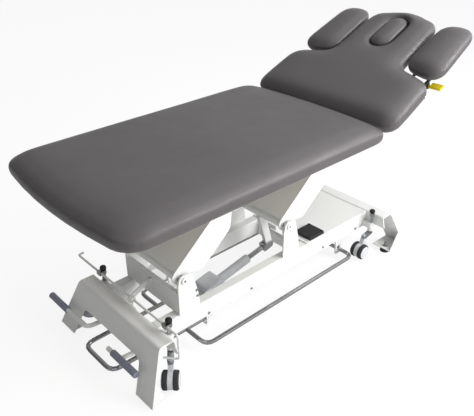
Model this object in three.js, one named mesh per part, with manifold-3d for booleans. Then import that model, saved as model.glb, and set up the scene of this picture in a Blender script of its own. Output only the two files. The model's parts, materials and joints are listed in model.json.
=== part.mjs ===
// Electric massage table with a two-part couch, as an assembly of separate pieces.
// Millimetres, +Z up. The foot end lies at small x, the head end at large x,
// and the front long side at negative y. The floor is z = 0.
import * as THREE from "three";
import { mergeVertices } from "three/addons/utils/BufferGeometryUtils.js";
import Module from "manifold-3d";

const wasm = await Module();
wasm.setup();

// Driving sizes, shared by several pieces

const gap = 0.3; // clearance between pieces that rest on each other
const overrun = 3; // how far a cutting shape passes the face it cuts
const sheet = 4; // bent steel sheet
const plateThick = 6; // flat steel plate
const roundness = 16; // sides of a round bar or hole
const coarseRoundness = 10;
const wheelRoundness = 20;

const couch = {
  width: 700,
  mainLength: 1098,
  cushion: 75,
  top: 700, // height of the cushion's top at rest
  board: 15,
  boardInset: 46,
};
const tilt = THREE.MathUtils.degToRad(23.9); // head section at rest
const armAngle = THREE.MathUtils.degToRad(40.5); // lift arms at rest

// Levels from the couch's top down to the pivots of the lift arms
const cushionBottom = couch.top - couch.cushion;
const boardTop = cushionBottom - gap;
const boardBottom = boardTop - couch.board;
const frameTop = boardBottom - gap;

const spacing = {
  frameShort: 52, // frame's end from the main section's end
  hingeBeyond: 32, // hinge axis past that end
  hingeDrop: 25, // hinge axis under the cushions
  actuatorReach: 378, // from its eye to the lever pin
};

const base = { footEdge: 70, length: 1362 };
const rail = { outer: 154, width: 40, bottom: 109, top: 178, wall: 3, corner: 5 };

const bridge = {
  sole: 8, // lower edge of the sloping face
  height: 182,
  lean: 73, // how far the fold stands behind the lower edge
  topWidth: 60,
  foldRadius: 16,
  backRadius: 9,
  backDrop: 47,
  halfBottom: 285,
  halfTop: 239,
  legWidth: 90,
  archTop: 112,
  archCorner: 24,
  shoulderRadius: 10,
  cheekHeight: 74,
  tabLevel: 20, // underside of the tab that the levelling foot screws into
  footTab: 52,
  headTab: 108,
};
const foot = {
  pad: 20, // radius of the rubber pad
  padTop: 17,
  padEdge: 3,
  stem: 5,
  stemTop: 44,
  nut: 10,
  nutHeight: 8,
  side: 240,
  inFromEdge: 21, // pad centre from the tab's free end
};

const arm = {
  length: 300,
  web: 5,
  halfWidth: 132, // outer face of the webs
  flangeTop: 34,
  depth: 104,
  endRadius: 26,
  taper: 70,
  torsionTube: 19, // radius
};
const shaft = { radius: 10, boss: 4 };

const topFrame = {
  tube: 40,
  height: 35,
  footX: 90,
  headX: couch.mainLength - spacing.frameShort,
  side: 131,
  lug: 30,
  pivotDrop: 71.6, // upper pivots under the frame
  pastPivot: 9.9, // frame beyond the pivot at the head
};
const frameBottom = frameTop - topFrame.height;
const upperZ = frameBottom - topFrame.pivotDrop;
const rise = arm.length * Math.sin(armAngle);
const advance = arm.length * Math.cos(armAngle);
const liftPivot = {
  footX: 315,
  headX: topFrame.headX - topFrame.pastPivot - advance,
  z: upperZ - rise,
};
const upright = {
  outer: rail.outer,
  footWidth: 88,
  behindPivot: 25,
  topRadius: 19,
  bracketRound: 34,
};
const uprightShares = { member: 0.646, waist: 0.425, round: 0.26 }; // of its height over the rail
const uprightHeight = liftPivot.z - rail.top;

const headHinge = {
  x: couch.mainLength + spacing.hingeBeyond,
  z: cushionBottom - spacing.hingeDrop,
  lug: 14,
  pin: 8,
};
const head = {
  start: 0, // near edge of the section, measured from its hinge
  halfWidth: 345,
  shoulderOuter: 267,
  shoulderInner: 315,
  columnEnd: 618,
  endArch: 24,
  boardInset: 42,
  frameTube: 26,
  frameHeight: 22,
};
const columnShare = 0.475; // of the head section's half width
const columnHalf = columnShare * head.halfWidth;
const cushionRoll = 30;

// Solid making

const axisX = new THREE.Vector3(1, 0, 0);
const axisY = new THREE.Vector3(0, 1, 0);
const axisZ = new THREE.Vector3(0, 0, 1);

function toSolid(geometry) {
  const plain = geometry.index ? geometry.toNonIndexed() : geometry.clone();
  plain.deleteAttribute("normal");
  plain.deleteAttribute("uv");
  const merged = mergeVertices(plain, 1e-3);
  const mesh = new wasm.Mesh({
    numProp: 3,
    vertProperties: new Float32Array(merged.attributes.position.array),
    triVerts: new Uint32Array(merged.index.array),
  });
  mesh.merge();
  return new wasm.Manifold(mesh);
}

function toGeometry(solid) {
  const mesh = solid.getMesh();
  const geometry = new THREE.BufferGeometry();
  geometry.setAttribute("position", new THREE.BufferAttribute(mesh.vertProperties, 3));
  geometry.setIndex(new THREE.BufferAttribute(mesh.triVerts, 1));
  const flat = geometry.toNonIndexed();
  flat.computeVertexNormals();
  return flat;
}

function join(first, ...others) {
  return toGeometry(others.reduce((all, next) => all.add(toSolid(next)), toSolid(first)));
}

function cut(body, ...tools) {
  return toGeometry(tools.reduce((all, next) => all.subtract(toSolid(next)), toSolid(body)));
}

function common(body, tool) {
  return toGeometry(toSolid(body).intersect(toSolid(tool)));
}

function moved(geometry, x, y, z) {
  return geometry.clone().translate(x, y, z);
}

// A closed outline through corners [a, b, radius], each rounded by its radius
function outline(corners, steps = 3) {
  const points = [];
  corners.forEach(([a, b, radius = 0], i) => {
    const here = new THREE.Vector2(a, b);
    if (!radius) {
      points.push(here);
      return;
    }
    const [pa, pb] = corners[(i + corners.length - 1) % corners.length];
    const [na, nb] = corners[(i + 1) % corners.length];
    const back = new THREE.Vector2(pa, pb).sub(here).normalize();
    const on = new THREE.Vector2(na, nb).sub(here).normalize();
    const half = Math.acos(THREE.MathUtils.clamp(back.dot(on), -1, 1)) / 2;
    const centre = here.clone().addScaledVector(back.clone().add(on).normalize(), radius / Math.sin(half));
    const from = here.clone().addScaledVector(back, radius / Math.tan(half)).sub(centre);
    const to = here.clone().addScaledVector(on, radius / Math.tan(half)).sub(centre);
    const start = from.angle();
    let sweep = to.angle() - start;
    if (sweep > Math.PI) sweep -= 2 * Math.PI;
    if (sweep < -Math.PI) sweep += 2 * Math.PI;
    for (let k = 0; k <= steps; k++) {
      const angle = start + (sweep * k) / steps;
      points.push(new THREE.Vector2(Math.cos(angle), Math.sin(angle)).multiplyScalar(radius).add(centre));
    }
  });
  return points;
}

function shapeOf(points, ...holes) {
  const shape = new THREE.Shape(points);
  shape.holes = holes.map((hole) => new THREE.Path(hole));
  return shape;
}

function circle(a, b, radius, sides = roundness) {
  return Array.from({ length: sides }, (_, i) => {
    const angle = (2 * Math.PI * i) / sides;
    return new THREE.Vector2(a + radius * Math.cos(angle), b + radius * Math.sin(angle));
  });
}

function extruded(shape, depth) {
  return new THREE.ExtrudeGeometry(shape, { depth, bevelEnabled: false, curveSegments: 6 });
}

// Shapes drawn in (y, z) and run along x, in (x, z) and run along y, or in (x, y) and run up
function alongX(shape, from, to) {
  const turn = new THREE.Matrix4().makeBasis(axisY, axisZ, axisX);
  return extruded(shape, to - from).applyMatrix4(turn).translate(from, 0, 0);
}

function alongY(shape, from, to) {
  const turn = new THREE.Matrix4().makeBasis(axisX, axisZ, axisY.clone().negate());
  return extruded(shape, to - from).applyMatrix4(turn).translate(0, to, 0);
}

function upward(shape, from, to) {
  return extruded(shape, to - from).translate(0, 0, from);
}

function block(x0, x1, y0, y1, z0, z1) {
  const box = new THREE.BoxGeometry(x1 - x0, y1 - y0, z1 - z0);
  return box.translate((x0 + x1) / 2, (y0 + y1) / 2, (z0 + z1) / 2);
}

function rodAlongY(x, z, radius, from, to, sides = roundness) {
  return alongY(shapeOf(circle(x, z, radius, sides)), from, to);
}

function rodUp(x, y, radius, from, to, sides = roundness) {
  return upward(shapeOf(circle(x, y, radius, sides)), from, to);
}

// A round tube that follows straight runs through the given points, with bends of one radius
function bentTube(stops, bendRadius, radius, sides = 10, bendSteps = 4) {
  const path = new THREE.CurvePath();
  let from = stops[0].clone();
  for (let i = 1; i < stops.length - 1; i++) {
    const back = stops[i - 1].clone().sub(stops[i]).normalize();
    const on = stops[i + 1].clone().sub(stops[i]).normalize();
    const half = back.angleTo(on) / 2;
    const reach = bendRadius / Math.tan(half);
    const enter = stops[i].clone().addScaledVector(back, reach);
    const leave = stops[i].clone().addScaledVector(on, reach);
    path.add(new THREE.LineCurve3(from, enter));
    path.add(new THREE.QuadraticBezierCurve3(enter, stops[i].clone(), leave));
    from = leave;
  }
  path.add(new THREE.LineCurve3(from, stops[stops.length - 1].clone()));
  const rings = [];
  path.curves.forEach((curve, i) => {
    const bend = curve.isQuadraticBezierCurve3;
    const count = bend ? bendSteps : 1;
    for (let k = i ? 1 : 0; k <= count; k++) {
      rings.push([curve.getPoint(k / count), curve.getTangent(k / count)]);
    }
  });
  return tubeThrough(rings, radius, sides);
}

// Rings of equal sides, each square to its tangent, joined and closed by two flat ends
function tubeThrough(rings, radius, sides) {
  const positions = [];
  const index = [];
  const side = new THREE.Vector3();
  const first = rings[0][1];
  side.copy(Math.abs(first.z) < 0.9 ? axisZ : axisX).cross(first).normalize();
  const before = first.clone();
  rings.forEach(([point, tangent]) => {
    side.applyQuaternion(new THREE.Quaternion().setFromUnitVectors(before, tangent)).normalize();
    before.copy(tangent);
    const other = new THREE.Vector3().crossVectors(tangent, side);
    for (let k = 0; k < sides; k++) {
      const angle = (2 * Math.PI * k) / sides;
      const spoke = point.clone().addScaledVector(side, radius * Math.cos(angle));
      spoke.addScaledVector(other, radius * Math.sin(angle));
      positions.push(spoke.x, spoke.y, spoke.z);
    }
  });
  for (let r = 0; r < rings.length - 1; r++) {
    for (let k = 0; k < sides; k++) {
      const a = r * sides + k;
      const b = r * sides + ((k + 1) % sides);
      index.push(a, b, b + sides, a, b + sides, a + sides);
    }
  }
  const last = (rings.length - 1) * sides;
  for (let k = 1; k < sides - 1; k++) {
    index.push(0, k + 1, k, last, last + k, last + k + 1);
  }
  const geometry = new THREE.BufferGeometry();
  geometry.setAttribute("position", new THREE.Float32BufferAttribute(positions, 3));
  geometry.setIndex(index);
  return geometry.toNonIndexed();
}

// A stuffed form over one outline: rings drawn in by their insets, closed by flat caps.
// A fan closes a rounded outline; one with inner corners is cut into triangles.
function stuffed(points, rings, drawIn, fan = true) {
  const count = points.length;
  const positions = [];
  const index = [];
  rings.forEach(([inset, level]) => {
    drawIn(points, inset).forEach((p) => positions.push(p.x, p.y, level));
  });
  for (let r = 0; r < rings.length - 1; r++) {
    for (let k = 0; k < count; k++) {
      const a = r * count + k;
      const b = r * count + ((k + 1) % count);
      index.push(a, b, b + count, a, b + count, a + count);
    }
  }
  const flats = [0, rings.length - 1];
  flats.forEach((ring) => {
    const start = ring * count;
    const loop = points.map((_, k) => {
      const at = 3 * (start + k);
      return new THREE.Vector2(positions[at], positions[at + 1]);
    });
    if (fan) {
      const middle = loop.reduce((sum, p) => sum.add(p), new THREE.Vector2()).divideScalar(count);
      const hub = positions.length / 3;
      positions.push(middle.x, middle.y, rings[ring][1]);
      loop.forEach((_, k) => {
        const next = start + ((k + 1) % count);
        if (ring) index.push(start + k, next, hub);
        else index.push(next, start + k, hub);
      });
      return;
    }
    THREE.ShapeUtils.triangulateShape(loop, []).forEach(([a, b, c]) => {
      if (ring) index.push(start + a, start + b, start + c);
      else index.push(start + a, start + c, start + b);
    });
  });
  const geometry = new THREE.BufferGeometry();
  geometry.setAttribute("position", new THREE.Float32BufferAttribute(positions, 3));
  geometry.setIndex(index);
  return geometry.toNonIndexed();
}

// Rings from the flat underside, round the rolled side, to the crown
function padRings({ thick, roll, crown, under, crownReach }) {
  const sideLevel = 0.5 * thick;
  const steps = 3;
  const rings = [];
  for (let k = 0; k <= steps; k++) {
    const angle = (k / steps) * (Math.PI / 2);
    rings.push([under * (1 - Math.sin(angle)), sideLevel * (1 - Math.cos(angle))]);
  }
  const shoulder = thick - crown;
  for (let k = 1; k <= steps; k++) {
    const angle = (k / steps) * (Math.PI / 2);
    rings.push([roll * (1 - Math.cos(angle)), sideLevel + (shoulder - sideLevel) * Math.sin(angle)]);
  }
  rings.push([roll + 0.4 * crownReach, shoulder + 0.7 * crown]);
  rings.push([roll + crownReach, thick]);
  return rings;
}

// Draws a convex outline in towards its middle line, whatever its corner radii
function shrinkAbout(centreX, halfX, halfY) {
  return (points, inset) => points.map((p) => new THREE.Vector2(
    centreX + (p.x - centreX) * (1 - inset / halfX),
    p.y * (1 - inset / halfY),
  ));
}

// Draws any outline in along its own normals
function alongNormals(points, inset) {
  return points.map((p, k) => {
    const before = points[(k + points.length - 1) % points.length];
    const after = points[(k + 1) % points.length];
    const run = after.clone().sub(before).normalize();
    return new THREE.Vector2(p.x - run.y * inset, p.y + run.x * inset);
  });
}

// Adds points on long straight stretches, so that rings bend evenly
function evened(points, longest) {
  return points.flatMap((p, k) => {
    const next = points[(k + 1) % points.length];
    const parts = Math.max(1, Math.ceil(p.distanceTo(next) / longest));
    return Array.from({ length: parts }, (_, i) => p.clone().lerp(next, i / parts));
  });
}

// Materials and the tree of groups

function finish(color, roughness, metalness) {
  return new THREE.MeshStandardMaterial({ color, roughness, metalness });
}
const whitePaint = finish(0xe9eae8, 0.42, 0.1);
const leatherette = finish(0x676364, 0.5, 0);
const chrome = finish(0xc9ccd0, 0.14, 1);
const blackPlastic = finish(0x16171a, 0.5, 0);
const greyPlastic = finish(0xaeb2b4, 0.5, 0);
const rubber = finish(0x1c1c1e, 0.8, 0);
const gripRubber = finish(0x5d6076, 0.7, 0);
const zincSteel = finish(0xa4a7aa, 0.35, 0.9);
const plywood = finish(0x9c7b52, 0.7, 0);
const yellowPlastic = finish(0xe8d22a, 0.45, 0);
const hoodPlastic = finish(0xdcddd8, 0.5, 0);

const table = new THREE.Group();

function place(group, name, geometry, material) {
  const mesh = new THREE.Mesh(geometry, material);
  mesh.name = name;
  group.add(mesh);
  return mesh;
}

const sides = [["front", -1], ["rear", 1]];
const ends = [["foot", 1], ["head", -1]];
const baseEnd = base.footEdge + base.length;

// An x that is measured inwards from one end of the base
function fromEnd(toward, distance) {
  return toward > 0 ? base.footEdge + distance : baseEnd - distance;
}

// Floor bridges: a sloping face, a rounded top and a short back, cut to two splayed legs

function bridgeProfile(tab) {
  const run = bridge.lean / (bridge.height - bridge.sole);
  const back = bridge.lean + bridge.topWidth;
  const cover = sheet * Math.hypot(1, run);
  const outer = [
    [0, bridge.sole],
    [bridge.lean, bridge.height, bridge.foldRadius],
    [back, bridge.height, bridge.backRadius],
    [back, bridge.height - bridge.backDrop],
    [back - sheet, bridge.height - bridge.backDrop],
    [back - sheet, bridge.height - sheet, bridge.backRadius - sheet],
    [bridge.lean + cover - run * sheet, bridge.height - sheet, bridge.foldRadius - sheet],
    [cover, bridge.sole],
  ];
  const level = bridge.tabLevel;
  const atTab = run * (level - bridge.sole);
  const tabPlate = [
    [atTab + 0.4 * cover, level],
    [tab, level],
    [tab, level + sheet],
    [atTab + 0.4 * cover + run * sheet, level + sheet],
  ];
  const cheek = [
    [0.4 * cover, bridge.sole + sheet],
    [tab, level],
    [tab, level + sheet],
    [run * bridge.cheekHeight + cover, bridge.sole + bridge.cheekHeight],
    [run * bridge.cheekHeight + 0.4 * cover, bridge.sole + bridge.cheekHeight],
  ];
  return { outer, tabPlate, cheek };
}

function mirroredCorners(corners) {
  return corners.map(([a, b, r]) => [-a, b, r]).reverse();
}

function bridgeSheet(tab) {
  const splay = (bridge.halfBottom - bridge.halfTop) / (bridge.height - bridge.sole);
  const legInner = (z) => bridge.halfBottom - bridge.legWidth - splay * (z - bridge.sole);
  const top = bridge.height + overrun;
  const bottom = bridge.sole - overrun;
  const half = [
    [legInner(bridge.archTop), bridge.archTop, bridge.archCorner],
    [legInner(bottom), bottom],
    [bridge.halfBottom + splay * overrun, bottom],
    [bridge.halfTop - splay * overrun, top, bridge.shoulderRadius],
  ];
  const silhouette = outline([...half, ...mirroredCorners(half)]);
  const strip = (side) => {
    const edge = [
      [bridge.halfBottom + splay * overrun, bottom],
      [bridge.halfTop - splay * overrun, top],
      [bridge.halfTop - splay * overrun - sheet, top],
      [bridge.halfBottom + splay * overrun - sheet, bottom],
    ];
    return outline(side > 0 ? edge : mirroredCorners(edge));
  };
  const { outer, tabPlate, cheek } = bridgeProfile(tab);
  const reach = bridge.halfBottom + 2 * overrun;
  const long = base.length / 2;
  const acrossLegs = (corners) => alongY(shapeOf(outline(corners, 4)), -reach, reach);
  const slab = (points) => alongX(shapeOf(points), -long, long);
  let whole = join(
    common(acrossLegs(outer), slab(silhouette)),
    common(acrossLegs(tabPlate), slab(silhouette)),
  );
  sides.forEach(([, side]) => {
    whole = join(whole, common(acrossLegs(cheek), slab(strip(side))));
  });
  return whole;
}

ends.forEach(([end, toward]) => {
  const tab = toward > 0 ? bridge.footTab : bridge.headTab;
  const holder = new THREE.Group();
  holder.position.x = fromEnd(toward, 0);
  holder.rotation.z = toward > 0 ? 0 : Math.PI;
  table.add(holder);
  const padX = tab - foot.inFromEdge;
  const holes = sides.map(([, side]) => rodUp(
    padX, side * foot.side, foot.stem + gap, bridge.tabLevel - overrun, bridge.tabLevel + sheet + overrun,
    coarseRoundness,
  ));
  place(holder, `${end}_bridge`, cut(bridgeSheet(tab), ...holes), whitePaint);
  sides.forEach(([side, sign]) => {
    const profile = [
      [0, 0],
      [foot.pad - foot.padEdge, 0],
      [foot.pad, foot.padEdge],
      [foot.pad, foot.padTop - foot.padEdge],
      [foot.pad - foot.padEdge, foot.padTop],
      [foot.nut, foot.padTop],
      [foot.nut, bridge.tabLevel - gap],
      [foot.stem, bridge.tabLevel - gap],
      [foot.stem, foot.stemTop],
      [0, foot.stemTop],
    ].map(([r, z]) => new THREE.Vector2(r, z));
    const lathe = new THREE.LatheGeometry(profile, coarseRoundness);
    lathe.rotateX(Math.PI / 2).translate(padX, sign * toward * foot.side, 0);
    place(holder, `levelling_foot_${end}_${side}`, lathe, rubber);
  });
});

// Side rails with the castor guide posts welded to their ends

const switchBar = {
  radius: 8,
  z: 36,
  footX: 54,
  leg: 86,
  legEnd: 460,
  side: 200,
  stepX: 362,
  fromHead: 269, // the loop's end, in from the base's end
  hangerSpread: 16, // more than the slot where a hanger meets its rail
  innerEnd: 70,
  bendRadius: 36,
  play: 10,
};
const castor = {
  postX: 147, // from the base's end
  postY: 193,
  post: 12,
  postTop: 172,
  headLower: 24, // head posts and knobs stand lower by this
  pin: 7,
  travel: 12,
  clampGap: 19, // left above the post when the castors are down
  clampHeight: 14,
  clamp: 11,
  cap: 11,
  capHeight: 17,
  crank: 51, // from the guide pin to the castor stem
  crankThick: 8,
  crankTop: 104,
  boss: 11,
  wheel: 33,
  wheelWidth: 18,
  wheelGap: 18,
  lift: 8, // under the wheels at rest
  trail: 22,
  stem: 6,
  stemHead: 9,
  stemOut: 4, // above the crank
  axle: 4,
  innerEdge: 2.5,
  outerEdge: 4,
  hubDish: 5,
};
const castorShares = { rim: 0.62, hub: 0.56, fork: 0.94 };
const pedal = {
  shaftX: 262,
  shaftZ: 68,
  shaft: 7,
  boss: 12,
  tube: 8,
  barX: 78,
  barZ: 88,
  arm: 104,
  liftEnd: 342,
  liftGrip: 230,
  releaseStart: -34,
  releaseEnd: -192,
  releaseGrip: -64,
  grip: 12,
  cap: 3,
  bendRadius: 26,
  lugSpread: 20, // more than the boss where a lug meets its rail
};
const linkRod = {
  radius: 4,
  fromPin: 13,
  front: -257,
  rear: 346,
  hook: 22,
  drop: 95,
  bendRadius: 12,
  inFront: -216,
  toStem: 34,
};
const crankTurn = {
  foot: THREE.MathUtils.degToRad(-128),
  head: THREE.MathUtils.degToRad(-172),
};
const swivelTurn = {
  foot: THREE.MathUtils.degToRad(-133),
  head: THREE.MathUtils.degToRad(180),
};
const bridgeBack = bridge.lean + bridge.topWidth;
const railStart = fromEnd(1, bridgeBack + gap);
const railEnd = fromEnd(-1, bridgeBack + gap);
const railInner = rail.outer - rail.width;

function postTop(end) {
  return end === "foot" ? castor.postTop : castor.postTop - castor.headLower;
}

function railTube(side) {
  const outer = outline([
    [-rail.outer, rail.bottom, rail.corner],
    [-railInner, rail.bottom, rail.corner],
    [-railInner, rail.top, rail.corner],
    [-rail.outer, rail.top, rail.corner],
  ], 3);
  const inner = outline([
    [-rail.outer + rail.wall, rail.bottom + rail.wall],
    [-railInner - rail.wall, rail.bottom + rail.wall],
    [-railInner - rail.wall, rail.top - rail.wall],
    [-rail.outer + rail.wall, rail.top - rail.wall],
  ]);
  const tube = alongX(shapeOf(outer, inner), railStart, railEnd);
  const posts = ends.map(([end, toward]) => {
    const x = fromEnd(toward, castor.postX);
    const top = postTop(end);
    const web = block(
      x - 0.6 * castor.post, x + 0.6 * castor.post,
      -castor.postY, -rail.outer + 0.5 * rail.wall,
      rail.bottom + 2 * rail.corner, top - rail.corner,
    );
    const post = rodUp(x, -castor.postY, castor.post, rail.bottom, top);
    const bore = rodUp(
      x, -castor.postY, castor.pin + gap, rail.bottom - overrun, top + overrun,
    );
    return cut(join(post, web), bore);
  });
  const whole = join(tube, ...posts, barHanger(), pedalLug());
  return side < 0 ? whole : turnedOver(whole);
}

// A plate under the rail's inner wall in which the pedal shaft turns
function pedalLug() {
  const wide = pedal.boss + pedal.lugSpread;
  const plate = outline([
    [pedal.shaftX - wide, rail.bottom + 0.5 * rail.wall],
    [pedal.shaftX - pedal.boss, pedal.shaftZ - pedal.boss, pedal.boss - gap],
    [pedal.shaftX + pedal.boss, pedal.shaftZ - pedal.boss, pedal.boss - gap],
    [pedal.shaftX + wide, rail.bottom + 0.5 * rail.wall],
  ]);
  const hole = circle(pedal.shaftX, pedal.shaftZ, pedal.shaft + gap);
  const near = -railInner - rail.corner;
  return alongY(shapeOf(plate, hole), near - plateThick, near);
}

// A slotted plate under the rail's inner wall that limits the play of the switch bar
function barHanger() {
  const x = fromEnd(-1, switchBar.fromHead);
  const half = switchBar.radius + gap;
  const wide = half + switchBar.hangerSpread;
  const low = switchBar.z - switchBar.radius - switchBar.play;
  const high = switchBar.z + switchBar.radius + switchBar.play;
  const plate = outline([
    [x - wide, rail.bottom + 0.5 * rail.wall],
    [x - half - plateThick, low - plateThick, rail.corner],
    [x + half + plateThick, low - plateThick, rail.corner],
    [x + wide, rail.bottom + 0.5 * rail.wall],
  ]);
  const slot = outline([
    [x - half, low, 0.6 * half],
    [x + half, low, 0.6 * half],
    [x + half, high, 0.6 * half],
    [x - half, high, 0.6 * half],
  ], 3);
  const near = -railInner - rail.corner;
  return alongY(shapeOf(plate, slot), near - plateThick, near);
}

// The same solid mirrored to the rear side
function turnedOver(geometry) {
  const mirrored = geometry.clone().scale(1, -1, 1);
  const spots = mirrored.attributes.position;
  for (let i = 0; i < spots.count; i += 3) {
    for (let axis = 0; axis < 3; axis++) {
      const keep = spots.getComponent(i + 1, axis);
      spots.setComponent(i + 1, axis, spots.getComponent(i + 2, axis));
      spots.setComponent(i + 2, axis, keep);
    }
  }
  mirrored.computeVertexNormals();
  return mirrored;
}

sides.forEach(([side, sign]) => place(table, `side_rail_${side}`, railTube(sign), whitePaint));

// Cross pieces of the base

const crossMember = { thick: 40, top: rail.top + uprightShares.member * uprightHeight, lip: 14 };
const headCrossbar = { pastPivot: 104, width: 30, bottom: 110, top: 140 };
const link = {
  standOff: 15, // pin in front of the member
  belowTop: 18,
  pin: 4,
  eye: 9,
  thick: 5,
  lug: 4,
  width: 9,
  ear: 8,
  slot: 11,
};
const linkPin = {
  x: liftPivot.footX - upright.behindPivot - link.standOff,
  z: crossMember.top - link.belowTop,
};

// Two lugs on the foot member between which the castor link hangs
function linkLugs() {
  const face = linkPin.x + link.standOff;
  const points = outline([
    [face + 0.5 * sheet, linkPin.z - link.eye],
    [face + 0.5 * sheet, linkPin.z + link.eye],
    [linkPin.x - link.eye, linkPin.z + link.eye, 0.8 * link.eye],
    [linkPin.x - link.eye, linkPin.z - link.eye, 0.8 * link.eye],
  ]);
  const hole = circle(linkPin.x, linkPin.z, link.pin + gap, coarseRoundness);
  return sides.map(([, sign]) => {
    const inner = 0.5 * link.thick + gap;
    const near = sign < 0 ? -inner - link.lug : inner;
    return alongY(shapeOf(points, hole), near, near + link.lug);
  });
}

// Uprights: four plates on the rails that carry the lower shafts

function uprightPlate(pivotX, sign) {
  const back = pivotX - upright.behindPivot;
  const round = uprightShares.round * uprightHeight;
  const points = outline([
    [back, rail.top + gap],
    [back + upright.footWidth, rail.top + gap],
    [back + upright.footWidth - 0.2 * round, rail.top + uprightShares.waist * uprightHeight, round],
    [pivotX + upright.topRadius + 0.4 * round, liftPivot.z + upright.topRadius, upright.topRadius],
    [pivotX - upright.topRadius - gap, liftPivot.z + upright.topRadius, upright.topRadius],
    [back, liftPivot.z - upright.topRadius, round],
  ]);
  const hole = circle(pivotX, liftPivot.z, shaft.radius + gap);
  const near = sign < 0 ? -upright.outer : upright.outer - plateThick;
  return alongY(shapeOf(points, hole), near, near + plateThick);
}

// The channel across the pair of uprights at the foot
function towerMember() {
  const back = liftPivot.footX - upright.behindPivot;
  const low = rail.top + gap;
  const top = crossMember.top;
  const reach = upright.outer - 0.5 * plateThick;
  return alongY(shapeOf(outline([
    [back, low],
    [back + crossMember.thick, low],
    [back + crossMember.thick, low + sheet],
    [back + sheet, low + sheet],
    [back + sheet, top - sheet],
    [back + crossMember.lip, top - sheet],
    [back + crossMember.lip, top],
    [back, top],
  ])), -reach, reach);
}

const pivots = [["foot", liftPivot.footX], ["head", liftPivot.headX]];
pivots.forEach(([end, x]) => {
  const plates = sides.map(([, sign]) => uprightPlate(x, sign));
  if (end === "foot") {
    place(table, "foot_tower", join(...plates, towerMember(), ...linkLugs()), whitePaint);
  } else {
    sides.forEach(([side], i) => place(table, `head_upright_${side}`, plates[i], whitePaint));
  }
  const reach = upright.outer + shaft.boss;
  const inner = rodAlongY(x, liftPivot.z, shaft.radius, -reach, reach);
  place(table, `${end}_lower_shaft`, inner, zincSteel);
});

// Crossbar between the rails at the head
const headCrossbarX = liftPivot.headX + headCrossbar.pastPivot;
const headCrossbarSolid = block(
  headCrossbarX, headCrossbarX + headCrossbar.width,
  -railInner + gap, railInner - gap, headCrossbar.bottom, headCrossbar.top,
);
place(table, "base_crossbar", headCrossbarSolid, whitePaint);

// Actuator: a housing that turns on the base and a rod that slides in its tube

const lever = { reach: 50, pinZ: 140, radius: 15, half: 8.5, root: 34 };
const leverDrop = liftPivot.z - lever.pinZ;
const leverPin = { x: liftPivot.headX + lever.reach, z: lever.pinZ };
const actuator = {
  x: leverPin.x - spacing.actuatorReach,
  z: 66,
  eye: 15,
  eyeWidth: 24,
  pin: 6,
  motorStart: 26,
  motorLength: 86,
  motorHeight: 70,
  motorWidth: 72,
  motorDrop: 35,
  tube: 18,
  tubeEnd: 268,
  rod: 10,
  boreStart: 92,
  rodStart: 175,
  forkGap: 9.5,
  forkCheek: 6,
  forkReach: 34,
  forkHeight: 30,
};
const actuatorRun = Math.hypot(leverPin.x - actuator.x, leverPin.z - actuator.z);
const actuatorAngle = Math.atan2(leverPin.z - actuator.z, leverPin.x - actuator.x);

const crossbar = { width: 30, bottom: 58, height: 30, lug: 7 };
const crossbarX = actuator.x - actuator.eye - crossbar.width - gap;

const crossbarTube = block(
  crossbarX, crossbarX + crossbar.width, -railInner + gap, railInner - gap,
  crossbar.bottom, crossbar.bottom + crossbar.height,
);
// Hangers carry the bar's ends on the rails' inner walls above it
const hangers = sides.map(([, sign]) => block(
  crossbarX, crossbarX + crossbar.width,
  Math.min(sign * (railInner - gap), sign * (railInner - gap - plateThick)),
  Math.max(sign * (railInner - gap), sign * (railInner - gap - plateThick)),
  crossbar.bottom, rail.top - rail.corner,
));
const eyeGap = 0.5 * actuator.eyeWidth + gap;
const lugs = sides.map(([, sign]) => {
  const points = outline([
    [crossbarX + 0.5 * crossbar.width, actuator.z - actuator.eye],
    [actuator.x + actuator.eye, actuator.z - actuator.eye, actuator.eye - gap],
    [actuator.x + actuator.eye, actuator.z + actuator.eye, actuator.eye - gap],
    [crossbarX + 0.5 * crossbar.width, actuator.z + actuator.eye],
  ]);
  const near = sign < 0 ? -eyeGap - crossbar.lug : eyeGap;
  const hole = circle(actuator.x, actuator.z, actuator.pin + gap);
  return alongY(shapeOf(points, hole), near, near + crossbar.lug);
});
// A yoke below the bar limits the play of the switch bar's two legs
const yokeX = crossbarX + 0.5 * (crossbar.width - plateThick);
const yokeTop = crossbar.bottom + 0.5 * plateThick;
const yokeBottom = switchBar.z - switchBar.radius - switchBar.play - plateThick;
const yokes = sides.map(([, sign]) => {
  const centre = sign * switchBar.leg;
  const half = switchBar.radius + plateThick;
  const plate = outline([
    [centre - half, yokeBottom, plateThick],
    [centre + half, yokeBottom, plateThick],
    [centre + half, yokeTop],
    [centre - half, yokeTop],
  ]);
  const slotHalf = switchBar.radius + gap;
  const slot = outline([
    [centre - slotHalf, switchBar.z - switchBar.play - switchBar.radius, 0.5 * slotHalf],
    [centre + slotHalf, switchBar.z - switchBar.play - switchBar.radius, 0.5 * slotHalf],
    [centre + slotHalf, switchBar.z + switchBar.play + switchBar.radius, 0.5 * slotHalf],
    [centre - slotHalf, switchBar.z + switchBar.play + switchBar.radius, 0.5 * slotHalf],
  ], 3);
  return alongX(shapeOf(plate, slot), yokeX, yokeX + plateThick);
});
place(table, "actuator_crossbar", join(crossbarTube, ...hangers, ...lugs, ...yokes), whitePaint);

const actuatorGroup = new THREE.Group();
actuatorGroup.position.set(actuator.x, 0, actuator.z);
actuatorGroup.rotation.y = -actuatorAngle;
table.add(actuatorGroup);

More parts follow.
